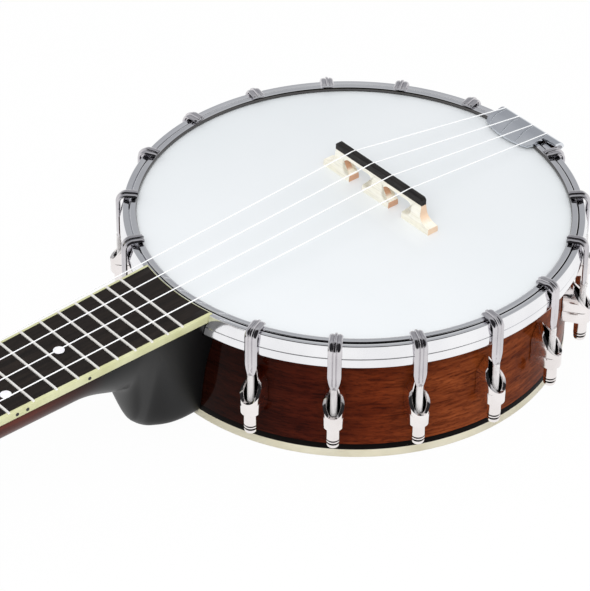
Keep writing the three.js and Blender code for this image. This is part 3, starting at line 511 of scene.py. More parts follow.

# %% [markdown]
# ### Lacquered rim
# The rim is a strip of brown wood bent into a ring, so its grain runs level all the way round. The
# pattern is laid out by the angle about the pot and the height, and noise stretched along the angle
# makes the grain lines. Glossy lacquer is a coat over the wood. The colour darkens towards the neck:
# partly a burst stain, and partly painted shade where the light falls off towards the heel.

# %% Rim wood
def round_place(material, along, upward, inward):
    """Where a point is on a ring: the angle times the along scale, the height times the upward one,
    and the distance from the middle times the inward one."""
    x, y, z = axes(material)
    turn = worked(material, "MULTIPLY", worked(material, "ARCTAN2", y, x), along)
    rise = worked(material, "MULTIPLY", z, upward)
    flat = node(material, "CombineXYZ", {"X": x, "Y": y}).outputs[0]
    length = node(material, "VectorMath", {0: flat}, operation="LENGTH").outputs["Value"]
    depth = worked(material, "MULTIPLY", length, inward)
    return node(material, "CombineXYZ", {"X": turn, "Y": rise, "Z": depth}).outputs[0]


def make_rim_wood():
    """The colour goes from almost black at the heel, through red-brown, to orange-brown, by the distance
    towards the tail: partly a burst stain, and partly painted shade where the light falls off towards
    the heel. The grain, its broad bands and the pores then darken it in places."""
    material, shader = new_finish("rim_wood", roughness=0.45, specular_ior_level=0.0, coat_weight=0.35,
                                  coat_roughness=0.07, coat_ior=1.2)
    # partly burst stain and partly painted shade: the wood darkens towards the heel along X
    wood = ramp(material, spread(material, axes(material)["X"], -0.105, 0.0), [
        (0.04, colour(38, 13, 6)), (0.24, colour(80, 27, 12)), (0.46, colour(122, 52, 22)),
        (0.76, colour(149, 75, 37))])
    grain = noise(material, round_place(material, 5.0, 300.0, 60.0), 1.7, 7.0, 0.62)
    bands = noise(material, round_place(material, 1.3, 60.0, 20.0), 1.5, 3.0)
    pores = noise(material, round_place(material, 26.0, 1000.0, 60.0), 1.0, 2.0)
    for share, pattern, stops in (
            (1.0, grain, [(0.32, colour(160, 141, 131)), (0.47, colour(216, 207, 200)), (0.66, white)]),
            (1.0, bands, [(0.30, colour(206, 190, 182)), (0.62, white)]),
            (0.5, pores, [(0.36, colour(140, 124, 118)), (0.48, white)])):
        wood = blended(material, share, wood, ramp(material, pattern, stops), "MULTIPLY")
    wire(material, shader, Base_Color=wood)
    bump(material, shader, pores, 0.08, 0.00005)
    return material


rim_wood = make_rim_wood()
print("rim wood has", len(rim_wood.node_tree.nodes), "nodes")

# %% [markdown]
# ### Skin, plastics and nylon
# The head is a white film with a faint tooth: nearly matt, with a little sheen. The binding is cream
# plastic that yellows unevenly. The strings are clear nylon that looks white, and they glow a little:
# painted light that keeps them brighter than the lit skin.

# %% Pale finishes
def plain(name, first, second, rough, scale=60.0, grain=1500.0, relief=0.00002, **values):
    """A pale finish that drifts between two close tints, with a fine tooth."""
    material, shader = new_finish(name, roughness=rough, **values)
    place = object_place(material)
    cloud = noise(material, place, scale, 3.0)
    tint = blended(material, spread(material, cloud, 0.35, 0.65), first, second)
    wire(material, shader, Base_Color=tint)
    bump(material, shader, noise(material, place, grain, 2.0), 0.2, relief)
    return material


skin_film = plain("drum_film", colour(234, 237, 239), colour(230, 234, 236), 0.5, 9.0, 2200.0,
                  0.000004, coat_weight=0.45, coat_roughness=0.06)
cream = plain("cream_binding", colour(228, 222, 200), colour(212, 205, 178), 0.35, 45.0)
board_cream = plain("board_binding", colour(212, 212, 170), colour(198, 198, 150), 0.35, 90.0)
black_line = plain("black_line", colour(7, 4, 3), colour(11, 7, 6), 0.45, specular_ior_level=0.04)
# painted light: a faint white emission makes the strings glow brighter than the lit skin
nylon = plain("nylon", white, colour(250, 251, 252), 0.22, 200.0, coat_weight=0.6,
              emission_color=white, emission_strength=0.1)
bone = plain("bone", colour(238, 234, 220), colour(226, 220, 202), 0.35, 150.0)
black_dot = plain("black_dot", colour(18, 18, 18), colour(28, 27, 26), 0.4)


def make_pearl():
    """Shell inlay: tints drift with the angle of a slow noise, under a clear polish."""
    material, shader = new_finish("pearl", roughness=0.18, coat_weight=0.6)
    cloud = noise(material, object_place(material), 420.0, 3.0)
    tint = ramp(material, cloud, [
        (0.35, colour(232, 236, 240)), (0.5, colour(250, 250, 250)), (0.65, colour(240, 236, 244))])
    wire(material, shader, Base_Color=tint)
    return material


pearl = make_pearl()
print("pale finishes made")

# %% [markdown]
# ### Neck and fingerboard
# The heel is sprayed black and the black fades to dark red-brown along the neck. The fingerboard is a
# near-black wood with short open pores. The bridge is bare maple, whose front shows pale face grain and
# whose cut ends drink more oil and look tan, under a strip of black wood.

# %% Woods of the neck and the bridge
def straight_wood(name, dark, light, rough, stretch, fine, relief, pore_share=0.5, **values):
    """Wood whose grain runs along one axis: noise on coordinates that are squeezed along it."""
    material, shader = new_finish(name, roughness=rough, **values)
    lines = noise(material, object_place(material, stretch), 1.0, 6.0, 0.6)
    pores = noise(material, object_place(material, [s * fine for s in stretch]), 1.0, 2.0)
    body = ramp(material, lines, [(0.32, dark), (0.66, light)])
    shade = ramp(material, pores, [(0.34, colour(150, 144, 140)), (0.5, white)])
    wire(material, shader, Base_Color=blended(material, pore_share, body, shade, "MULTIPLY"))
    bump(material, shader, pores, 0.3, relief)
    return material, shader


board_wood, _ = straight_wood("fingerboard_wood", colour(20, 15, 12), colour(38, 30, 25), 0.5,
                              (25, 500, 500), 3.0, 0.00006, specular_ior_level=0.2)
ebony, _ = straight_wood("black_cap_wood", colour(22, 20, 19), colour(46, 43, 41), 0.5,
                         (700, 60, 700), 2.0, 0.00005, specular_ior_level=0.2)


def make_maple():
    """Where the surface faces along the bridge it is cut end grain: tan in the arches, and paler on the
    two outer ends. Everything else shows the pale face grain."""
    material, shader = straight_wood("maple", colour(248, 243, 224), colour(255, 252, 240), 0.48,
                                     (600, 50, 500), 2.5, 0.00004, 0.15)
    face_grain = shader.inputs["Base Color"].links[0].from_socket
    normal = node(material, "TexCoord").outputs["Normal"]
    along = node(material, "SeparateXYZ", {"Vector": normal}).outputs["Y"]
    sideways = worked(material, "ABSOLUTE", along)
    apart = worked(material, "ABSOLUTE", axes(material)["Y"])
    end_grain = blended(material, spread(material, apart, 0.028, 0.031), colour(215, 168, 136),
                        colour(244, 214, 184))
    tint = blended(material, spread(material, sideways, 0.35, 0.8), face_grain, end_grain)
    wire(material, shader, Base_Color=tint)
    return material


def make_neck_lacquer():
    """Red-brown wood that the black of the heel covers by the distance from the pot."""
    material, shader = new_finish("neck_lacquer", roughness=0.35, specular_ior_level=0.16)
    lines = noise(material, object_place(material, (14, 260, 260)), 1.0, 6.0, 0.6)
    wood = ramp(material, lines, [(0.3, colour(48, 16, 12)), (0.68, colour(92, 38, 26))])
    fade = spread(material, axes(material)["X"], -0.205, -0.160)
    wood = blended(material, fade, wood, colour(10, 10, 11))
    wire(material, shader, Base_Color=wood)
    bump(material, shader, noise(material, object_place(material), 300.0), 0.1, 0.00008)
    return material


maple = make_maple()
neck_lacquer = make_neck_lacquer()
print("woods made")

# %% [markdown]
# ## The rim and its binding
# On the bench the rim is turned true on a lathe, so a lathe is the natural tool here too: a rounded
# outline of radius and height is turned about the middle of the pot. The binding sits in a rabbet at
# the back edge, cream with a thin black line above it.

# %% Rim and binding
rim_wall = 9.0
binding_depth = 2.0
black_line_height = 3.0
close_fit = 0.3

inner_radius = rim_radius - rim_wall
ledge_radius = rim_radius - binding_depth - close_fit
ledge_height = binding_height + close_fit / 2
rim_outline = rounded(
    [[inner_radius, 0], [ledge_radius, 0], [ledge_radius, ledge_height], [rim_radius, ledge_height],
     [rim_radius, rim_top], [inner_radius, rim_top]],
    [0.8, 0.1, 0.1, 0.15, 2.0, 1.2])
rim_piece = add_piece("rim_wood_ring", [lathe(rim_outline)], rim_wood, ["rim"])

binding_inner = rim_radius - binding_depth
cream_top = binding_height - black_line_height
cream_outline = rounded(box_corners(binding_inner, rim_radius, 0, cream_top), [0.1, 1.1, 0.05, 0.05])
black_outline = rounded(box_corners(binding_inner, rim_radius, cream_top, ledge_height), 0.05)
add_piece("binding_cream_ring", [lathe(cream_outline)], cream, ["rim_binding"])
add_piece("binding_black_line", [lathe(black_outline)], black_line, ["rim_binding"])
print("rim ring:", len(rim_piece.data.polygons), "faces")

# %% [markdown]
# ## Skin and hoops
# The film lies flat, rolls over the rim and hangs inside the flesh hoop. The tension hoop presses it
# down with a rounded bead: its crest catches a grey light, the groove behind it stays black, and the
# tall skirt shows white. Those three bands are only there if the bead, groove and skirt are true
# shapes. The fingerboard ends in a notch that is cut through the skirt. The groove on the side towards
# -Y and the bead's inner side also get painted shade: a share of the hollow attribute, which darkens
# the plate there.

# %% Skin and hoops
skin_thickness = 0.6
bead_inner, bead_outer, groove_place, shoulder_place = (hoop_radius - d for d in (7.8, 4.7, 4.2, 1.4))
skirt_top, groove_floor, groove_top, shoulder_top = (pot_height - d for d in (6, 1.9, 0.5, 0.1))
hoop_inner = skin_radius + 2 * close_fit
board_end_radius = hoop_radius - 3.4
board_half_width = 23.9
board_thickness = 4.0

film_inner, film_under = skin_radius - skin_thickness, head_top - skin_thickness
film_line = [[0, head_top], [skin_radius - 3, head_top], [skin_radius, head_top],
             [skin_radius, skin_bottom], [film_inner, skin_bottom], [film_inner, film_under],
             [0, film_under]]
film_profile = smooth_path(film_line, [1, 1, 1.4, 0.2, 0.2, 1.0, 1])
add_piece("head_film", [lathe(film_profile)], skin_film, ["drum_head"])

flesh_corners = box_corners(skin_radius + close_fit, hoop_radius, flesh_bottom, flesh_top)
flesh_outline = rounded(flesh_corners, [0.3, 1.3, 0.5, 0.3])
add_piece("flesh_hoop_ring", [lathe(flesh_outline)], chrome, ["flesh_hoop"])

bead_bottom = head_top + close_fit
tension_outline = rounded(
    [[hoop_inner, skirt_bottom], [hoop_radius, skirt_bottom], [hoop_radius, skirt_top],
     [shoulder_place, shoulder_top], [groove_place + 0.1, groove_top],
     [groove_place, groove_floor], [bead_outer + 0.1, groove_floor],
     [bead_outer, pot_height], [bead_inner, pot_height], [bead_inner, bead_bottom],
     [hoop_inner, bead_bottom]],
    [0.2, 0.4, 1.5, 0.4, 0.1, 0.1, 0.1, 0.5, 1.7, 0.4, 0.1])
tension_piece = add_piece("tension_hoop_ring", [lathe(tension_outline, 720)], chrome, ["tension_hoop"])


def notch_shell():
    """The room of the board's end: an arc of a ring, from the angle of one side of the board to the
    other, as a closed grid of angle and outline."""
    half = math.asin((board_half_width + 0.5) / hoop_radius)
    a = np.linspace(math.pi - half, math.pi + half, 49)[:, None]
    floor = pot_height - board_thickness - 2 * close_fit
    beyond = 3.0
    outline = np.array(box_corners(board_end_radius - close_fit, hoop_radius + beyond, floor,
                                   pot_height + beyond))
    radius, height = outline[:, 0][None], outline[:, 1][None]
    return skin(np.stack([radius * np.cos(a), radius * np.sin(a), height + 0 * a], -1))


carve(tension_piece, [notch_shell()])
places = np.zeros(3 * len(tension_piece.data.vertices), np.float32)
tension_piece.data.vertices.foreach_get("co", places)
hoop_points = places.astype(float).reshape(-1, 3) / MM - pot_centre / MM
out, below = np.hypot(hoop_points[:, 0], hoop_points[:, 1]), pot_height - hoop_points[:, 2]
# painted shade on the hoop: the groove is darkened on the side towards -Y only, and the bead's inner
# side all round
near_side = np.clip(-hoop_points[:, 1] / 40, 0, 1)
in_groove = (out > bead_outer - 0.2) & (out < groove_place + 0.1) & (below > 0.3)
in_side = (out < bead_inner + 1.0) & (below > 0.2)
set_painted_shade(tension_piece, in_groove * near_side + 0.9 * in_side)
print("tension hoop:", len(tension_piece.data.polygons), "faces")

# %% [markdown]
# ## Hooks
# A tension hook is a strip of metal bent over the hoop, with a rib rolled along its middle, that tapers
# into a threaded rod. The strip is a ribbed section carried along a bent path, because that is how it
# was made. One hook is drawn at angle zero, and it is turned to its sixteen places later.

# %% The hook's strap
strap_half, strap_thickness = 3.1, 1.7
strap_end = pot_height - 22.8
bend_radius, strap_top = 4.0, pot_height + 1.3
hook_reach = hoop_radius + close_fit + strap_thickness / 2
rib_height, rib_half, rib_edge = 0.5, 0.6, 0.1
rib_foot, foot_width = 0.92, 0.18
taper_length, taper_half = 7.5, 1.5


def section(half, rib):
    """A flat strip's section, from side to side. The top carries a rib: a level crown that falls off
    steeply on both sides, with a fine groove at its foot. The edges are rounded by the sixth power of
    the distance."""
    across = np.linspace(-1, 1, 45)
    away = np.abs(across) * half
    crown = 0.5 - 0.5 * np.tanh((away - rib_half) / rib_edge)
    foot = np.exp(-((away - rib_foot) / foot_width) ** 2)
    edge = strap_thickness * 0.5 * (1 - np.abs(across) ** 6 * 0.85)
    upper = np.column_stack([across * half, edge + rib * crown - 0.6 * rib * foot])
    lower = np.column_stack([across[::-1] * half, -edge[::-1]])
    return np.vstack([upper, lower])


def strap_shell():
    """The section carried along the bent path, which is a claw over the bead, an arc and a straight
    line down. A point is the path's point, plus the section's across value along y and its height along
    the path's outer normal."""
    bend = spokes(np.radians(np.linspace(90, 0, 30))) * bend_radius
    bend += [hook_reach - bend_radius, strap_top - bend_radius]
    claw = [[hoop_radius - 7.7, strap_top - 0.4], [hoop_radius - 6.8, strap_top - 0.05], bend[0]]
    path = np.vstack([smooth_path(claw, 0.8), bend[1:], [hook_reach, strap_end]])
    s, spine = walked(path, 110)
    along = directions(spine)
    outward = np.column_stack([-along[:, 1], along[:, 0]])
    left = s[-1] - s
    taper = np.sin(np.clip(left / taper_length, 0, 1) * math.pi / 2) ** 0.9
    widths = taper_half + (strap_half - taper_half) * taper
    ribs = rib_height * np.clip(left - 1.5, 0, 1)
    flat = np.array([section(half, rib) for half, rib in zip(widths, ribs)])
    plane = spine[:, None] + outward[:, None] * flat[..., 1:]
    return skin(np.stack([plane[..., 0], flat[..., 0], plane[..., 1]], -1))


print("strap has", len(strap_shell()[0]), "points")

# %% [markdown]
# ### Rod and nut
# The hook's round end carries a thread, and a barrel nut under the shoe pulls on it. The thread is a
# true helix, so it catches the light as a real one does, where rings would only look like one from far
# away. The nut has two turned grooves and a domed foot.

# %% Rod and nut
shoe_top, shoe_bottom = 31.3, 25.0
nut_top = shoe_bottom - close_fit
nut_bottom = size_of("hook_01")[0][2]
thread_pitch, thread_depth = 0.6, 0.1


def thread_shell(low, high, radius):
    """A threaded rod: the radius is a wave of the height over the pitch plus the angle."""
    z = np.linspace(low, high, int((high - low) / thread_pitch * 6))[:, None]
    a = full_turn(24)[None]
    wave = radius + thread_depth * np.cos(2 * math.pi * z / thread_pitch + a)
    return skin(np.stack([hook_reach + wave * np.cos(a), wave * np.sin(a), z + 0 * a], -1))


def nut_shell():
    """The barrel nut: a turned profile with two grooves above its domed foot."""
    b = nut_bottom
    profile = [[0, b], [1.7, b + 0.1], [2.7, b + 0.9], [2.95, b + 1.9], [2.95, b + 2.6],
               [1.9, b + 2.65], [1.9, b + 3.55], [3.1, b + 3.6], [3.1, b + 4.4], [2.1, b + 4.45],
               [2.1, b + 5.05], [3.1, b + 5.1], [3.1, nut_top - 0.3], [2.9, nut_top], [0, nut_top]]
    reach = [0.1, 0.5, 0.6, 0.5, 0.05, 0.05, 0.05, 0.15, 0.15, 0.05, 0.05, 0.1, 0.2, 0.1, 0.1]
    return lathe(smooth_path(profile, reach, 4), 40, hook_reach)


def nut_groove_shade(points):
    """The painted shade of the nut: 1 for the points of its two grooves, which lie near its axis, and 0
    for the others.
    """
    near = np.hypot(points[:, 0] - hook_reach, points[:, 1]) < 2.6
    above = points[:, 2] - nut_bottom
    return near & (above > 2.5) & (above < 5.2)


print("nut from", round(nut_bottom, 2), "to", round(nut_top, 2), "mm")

# %% [markdown]
# ## Shoes
# A shoe is a small casting on the rim. Its block takes the rod, and above it an open cup, shaped like
# an almond, guides the hook. The cup is one skin: up the outer wall, over a rounded lip and down the
# inner wall, and its width closes with the height so that the lip ends in a point.

# %% The shoe's cup
shoe_wall = rim_radius + close_fit
cup_radius, cup_wall, cup_height, plate_thickness = 4.88, 1.8, 14.0, 1.6
lip_mixes, wall_rows = (0.02, 0.2, 0.4, 0.6, 0.75, 0.87, 0.98), 18
screw_height = 38.0


def shoe_outline(radius, wall):
    """Straight sides from the wall and a half circle about the rod."""
    nose = [hook_reach, 0] + radius * spokes(np.linspace(-math.pi / 2, math.pi / 2, 17))
    side = np.linspace(wall, hook_reach, 7)[:-1]
    back = np.linspace(radius, -radius, 13)[1:-1]
    return np.vstack([
        np.column_stack([side, np.full(6, -radius)]), nose,
        np.column_stack([side[::-1], np.full(6, radius)]), np.column_stack([np.full(11, wall), back])])


def almond(height):
    """The share of the cup's width at a height: a swelling low down that closes to a point on top."""
    share = np.clip((height - shoe_top) / cup_height, 0, 1)
    return 0.93 * (1 - share ** 2.6) + 0.17 * np.sin(math.pi * share) ** 2 + 0.004


def lip_height(x):
    """The lip slopes down in a straight line from the plate's top to the front of the cup."""
    front = hook_reach + cup_radius
    share = np.clip((front - x) / (front - shoe_wall - plate_thickness), 0, 1)
    return shoe_top + 0.9 + (cup_height - 0.9) * share ** 1.15


def cup_shell():
    """Rows go up the outer wall, over the lip and down the inner wall. The lip is a roof between the
    walls, with its ridge near the inner one, that flattens out towards the front."""
    outer = shoe_outline(cup_radius, shoe_wall)
    inner = shoe_outline(cup_radius - cup_wall, shoe_wall + plate_thickness)
    up_share = np.linspace(0, 1, wall_rows)
    rows = []
    for share in up_share:
        z = shoe_top - 0.8 + (lip_height(outer[:, 0]) - shoe_top + 0.8) * share
        rows.append(np.column_stack([outer[:, 0], outer[:, 1] * almond(z), z]))
    top = lip_height(outer[:, 0])
    beside = (outer[:, 1] / cup_radius) ** 2
    for mix in lip_mixes:
        plan = outer * (1 - mix) + inner * mix
        ridge = beside * min(mix / lip_mixes[4], (1 - mix) / (1 - lip_mixes[4]))
        rows.append(np.column_stack([plan[:, 0], plan[:, 1] * almond(top), top + ridge]))
    for share in up_share[::-1]:
        z = shoe_top + (top - shoe_top) * share
        rows.append(np.column_stack([inner[:, 0], inner[:, 1] * almond(z), z]))
    return skin(np.stack(rows))


print("cup has", len(cup_shell()[0]), "points")

# %% [markdown]
# ### Block, screw and painted shade
# The block under the cup has straight sides and a round nose, like the cup itself. A screw holds it to
# the rim, and its nut and washer are inside the pot. Each point inside the cup gets a share of painted
# shade, which the plate's finish reads from the hollow attribute and which darkens the plate there.

# %% Block, screw and painted shade
def cup_painted_shade(points):
    """The painted shade of each point of a shoe, by how deep it lies in its cup: 0 outside and on the
    lip, then growing to 1 over the first rows of the inner wall. The block's points follow, at 0."""
    down = np.clip(np.arange(wall_rows) / 4, 0, 1)
    rows = np.concatenate([np.zeros(wall_rows + len(lip_mixes)), down])
    columns = len(shoe_outline(cup_radius, shoe_wall))
    shares = np.concatenate([np.repeat(rows, columns), [0, 1]])
    return np.concatenate([shares, np.zeros(points - len(shares))])


def block_shell():
    """The block under the cup, with rounded edges."""
    return upright(shoe_outline(4.75, shoe_wall), shoe_bottom, shoe_top + 0.2, 0.7)


def screw_shells():
    """Inside the pot: a washer, a six-sided nut and the end of the shoe's screw."""
    washer = lathe(smooth_path([[0, 0], [4.6, 0], [4.6, 1], [0, 1]], [0.1, 0.3, 0.3, 0.1]), 48)
    nut = upright(rounded(3.6 * spokes(full_turn(6)), 0.3), 0.9, 3.6, 0.3)
    stud = lathe(smooth_path([[0, 0.5], [2, 0.5], [2, 4.4], [1.6, 4.7], [0, 4.7]], 0.1), 24)
    place = inner_radius - close_fit, screw_height
    return [moved(shell, lambda p: np.stack([place[0] - p[:, 2], p[:, 1], place[1] + p[:, 0]], -1))
            for shell in (washer, nut, stud)]


print("screw pieces have", [len(shell[0]) for shell in screw_shells()], "points")

# %% [markdown]
# ### Sixteen times round the pot
# The sets stand in even steps, with a wider gap on each side of the neck, and the whole ring of them is
# turned by a degree. Each set is the same few surfaces turned about the middle of the pot, so nothing
# has to be modelled twice. The angle of the model's own first shoe is printed beside the computed one.

# %% Sixteen hooks and shoes
def station_angle(number):
    """The direction of a hook from the middle of the pot, from the middle of its model's box."""
    low, high = size_of(f"shoe_{number:02d}")
    middle = (low + high) / 2
    return math.atan2(middle[1], middle[0])


set_turn, first_step, next_step = (math.radians(degrees) for degrees in (0.9, 24.2, 20.0))


def hook_angle(number):
    """Half of the hooks follow one side of the neck and half the other, in equal steps, and the whole
    set is turned a little."""
    side, place = (1, number - 1) if number <= 8 else (-1, number - 9)
    return math.pi + set_turn + side * (first_step + next_step * place)


def turned(shell, angle):
    """The shell turned about the middle of the pot."""
    c, s = math.cos(angle), math.sin(angle)
    return moved(shell, lambda p: np.stack(
        [c * p[:, 0] - s * p[:, 1], s * p[:, 0] + c * p[:, 1], p[:, 2]], -1))


strap, rod, nut = strap_shell(), thread_shell(nut_bottom + 4, strap_end + 0.8, 1.5), nut_shell()
cup, block, screws = cup_shell(), block_shell(), screw_shells()
for number in range(1, 17):
    a = hook_angle(number)
    hook, shoe = [f"hook_{number:02d}"], [f"shoe_{number:02d}"]
    add_piece(f"hook_strap_{number:02d}", [turned(strap, a)], hook_chrome, hook)
    add_piece(f"hook_rod_{number:02d}", [turned(rod, a)], rod_steel, hook)
    barrel = add_piece(f"hook_nut_{number:02d}", [turned(nut, a)], shoe_chrome, hook)
    # painted shade in the barrel nut's two grooves
    set_painted_shade(barrel, nut_groove_shade(nut[0]))
    cast = add_piece(f"shoe_cup_{number:02d}", [turned(cup, a), turned(block, a)], shoe_chrome, shoe)
    # painted shade on the inner wall of the cup
    set_painted_shade(cast, cup_painted_shade(len(cast.data.vertices)))
    add_piece(f"shoe_screw_{number:02d}", [turned(shell, a) for shell in screws], rod_steel, shoe)
print("hook 1 at", round(math.degrees(hook_angle(1)), 2), "degrees, model says",
      round(math.degrees(station_angle(1)) % 360, 2))

# %% [markdown]
# ## Rod through the pot
# A rod ties the heel to the tail of the rim, and its end nut also holds the tailpiece: a strip of plate
# that lies over the hoop, turns down behind it and ends in a tongue. The rod is a turned part that lies
# on its side, so its profile is turned about an upright axis first and then laid along the pot.

# %% Coordinator rod
rod_height = 33.0
tail_nut_start = rim_radius + 3 * close_fit + 1.3


def rod_shells():
    """Turned profiles laid along X: the thick bar inside the pot, its stubs, and the domed end nut."""
    wall, start = inner_radius - close_fit, tail_nut_start
    heel_end, stub = -rim_radius - 15, 2.6
    bar = smooth_path([[0, heel_end], [stub, heel_end], [stub, -wall], [4, -wall], [4, wall],
                       [stub, wall], [stub, start], [0, start]], 0.3)
    cap = smooth_path([[0, start], [5, start], [5, start + 3.6], [3.4, start + 6], [0, start + 6.5]],
                      [0.1, 0.5, 1.4, 1.6, 0.1], 8)
    return [moved(lathe(profile, 48), lambda p: np.stack([p[:, 2], p[:, 1], rod_height + p[:, 0]], -1))
            for profile in (bar, cap)]


bar_piece = add_piece("coordinator_bar", rod_shells(), rod_steel, ["coordinator_rod"])
print("bar in mm:", np.round(np.array(bar_piece.dimensions) / MM, 1).tolist())

# %% [markdown]
# ### Tailpiece
# The real one is cut from sheet and pressed, so it is drawn as a sheet too: a line for its side, a
# width for each length along that line, and a curved front lip. Its near wing is a little longer than
# the far one. The thickness and the softened edges come from modifiers.

# %% Tailpiece
plate = 1.3
lip_round = 39.5
lip_reach = hoop_radius - 14.8
flat_start = hoop_radius - 8.4
rear_reach = hoop_radius + 2
flange_reach = rear_reach + 3.6
string_count = 4
tail_spacing = 9.6


def tail_halfwidth(s):
    """Half the strip's width along its length: a plate, wings where it bends down, that narrow at once,
    and a tongue."""
    places, halves = [0, 3.6, 11.8, 12.3, 18.6, 26, 40, 60], [14.2, 16, 16, 20.2, 20.6, 16.5, 7, 7]
    return np.interp(s, places, halves)


def tail_middle(s):
    """The middle of the strip's width along its length: the near wing is a little longer."""
    return np.interp(s, [0, 11.8, 12.3, 20, 34, 60], [0, 0, -3.7, -3.7, 0, 0])


def tailpiece_sheet():
    """The middle of the sheet. The side path gives x and z for a length, and the front lip is an arc:
    near it, x is moved on by the arc's rise at that width."""
    low = head_top + 0.8 + plate / 2
    top = pot_height + 2 * close_fit + plate / 2
    wall = rim_radius + 2 * close_fit + plate / 2
    path = smooth_path([
        [lip_reach, low], [flat_start + 2.4, top], [rear_reach - plate / 2, top],
        [flange_reach - plate / 2, pot_height - 8.5], [wall, flesh_bottom - 9.5],
        [wall, rod_height - 7]], [1, 2.5, 1.6, 1.2, 3, 1], 8)
    s, line = walked(path, 150)
    x, z = line.T
    u = np.linspace(-1, 1, 61)
    y = tail_middle(s)[:, None] + tail_halfwidth(s)[:, None] * u
    rise = lip_round - np.sqrt(lip_round ** 2 - y ** 2)
    near_lip = np.clip(1 - s / 6.4, 0, 1)[:, None]
    return np.stack([x[:, None] + rise * near_lip, y, z[:, None] + 0 * y], -1)


sheet = tailpiece_sheet()
tail_piece = add_piece("tailpiece_plate", [skin(sheet, ring=False, caps=False)], plate_chrome,
                       ["tailpiece"])
thick = tail_piece.modifiers.new("thickness", "SOLIDIFY")
thick.thickness = plate * MM
thick.offset = 0
soft_edge = tail_piece.modifiers.new("edges", "BEVEL")
soft_edge.width = 0.0003
soft_edge.segments = 2
print("tailpiece sheet", sheet.shape)

# %% [markdown]
# ## Bridge
# The bridge stands loose on the skin. It is sawn from maple with two long arches that leave three feet
# with low toes, so its front is a grid: each column runs from the floor, or from the arch above it, up
# to the top or to the hollow of its end. Its thickness shrinks with height. A black strip with a slot
# for each string caps it.

# %% Bridge
bridge_low, bridge_high = size_of("bridge")
cap_low, cap_high = size_of("bridge_cap")
bridge_x = (bridge_low[0] + bridge_high[0]) / 2
bridge_half, cap_half = bridge_high[1], cap_high[1]
wood_height = cap_low[2] - head_top
toe_height = 3.2
middle_toe, outer_toe = 9.4, 18.7
arch_radius, arch_inner, arch_outer = 3.6, 3.65, 24.3
foot_thickness, top_thickness = 6.2, 2.9
end_rise = 4.9
bridge_spacing = 13.3


def bridge_columns():
    """For each column, its lowest and its highest point. The lowest ones go along the middle foot, over
    the top of its toe, round the arch, which is two half circles joined by a level ceiling, over the
    next toe and along the outer foot. The highest ones go along the top and then down the end, which is
    a quarter of an ellipse."""
    centre = toe_height + arch_radius
    a = np.linspace(-math.pi / 2, math.pi / 2, 19)
    inner = [arch_inner + arch_radius, centre] + arch_radius * spokes(a) * [-1, 1]
    outer = ([arch_outer - arch_radius, centre] + arch_radius * spokes(a))[::-1]
    foot = np.column_stack([np.linspace(0, middle_toe, 6), np.zeros(6)])
    toe = [[middle_toe, toe_height / 2], [middle_toe, toe_height]]
    next_toe = [[outer_toe, toe_height], [outer_toe, toe_height / 2]]
    side = np.column_stack([np.linspace(outer_toe, cap_half, 9), np.zeros(9)])
    tip = np.column_stack([np.linspace(cap_half, bridge_half, 13)[1:], np.zeros(12)])
    low = np.vstack([foot, toe, inner, outer, next_toe, side, tip])
    b = np.linspace(math.pi, 1.5 * math.pi, 11)
    hollow = np.column_stack([bridge_half + (bridge_half - cap_half) * np.cos(b),
                              toe_height + end_rise * (1 + np.sin(b))])
    top_y = np.concatenate([np.linspace(0, 1.5, 6), [1.6, 1.7], np.linspace(1.8, 7.2, 19),
                            np.linspace(20.7, 26.2, 19), [26.3, 26.4], np.linspace(26.5, cap_half, 9)])
    top = np.column_stack([top_y, np.full(len(top_y), wood_height)])
    high = np.vstack([top, [[cap_half, wood_height - 2]], hollow])
    return low, high


def bridge_shell():
    """Each column is cut into shares of its height, in front and behind, at half the thickness of that
    height: full in the toes, then shrinking evenly to the top."""
    low, high = bridge_columns()
    low = np.vstack([low[:0:-1] * [-1, 1], low])
    high = np.vstack([high[:0:-1] * [-1, 1], high])
    t = np.linspace(0, 1, 15)[None, :, None]
    front = low[:, None] * (1 - t) + high[:, None] * t
    rise = np.clip((front[..., 1] - toe_height / 2) / (wood_height - toe_height / 2), 0, 1)
    half = (foot_thickness + (top_thickness - foot_thickness) * rise) / 2
    fore, back = (np.stack([bridge_x + side * half, front[..., 0], head_top + front[..., 1]], -1)
                  for side in (1, -1))
    return skin(np.concatenate([fore, back[:, ::-1]], axis=1))


bridge_piece = add_piece("bridge_body", [bridge_shell()], maple, ["bridge"], crease=30)
soft = bridge_piece.modifiers.new("edges", "BEVEL")
soft.width = 0.00035
soft.segments = 2
soft.angle_limit = math.radians(40)
print("bridge half length", round(bridge_half, 2), "cap", round(cap_half, 2))

# %% [markdown]
# ### The bridge's black cap
# Maple is too soft for the strings to press on, so a strip of hard black wood is glued on top, with a
# filed slot for each string. Its top is worked out as the lower of two heights, the bevelled end's and
# the slot's, which needs no cutting.

# %% Black cap
def string_places(spacing):
    """The strings' places across, from the near side to the far one."""
    return (1.5 - np.arange(string_count)) * spacing


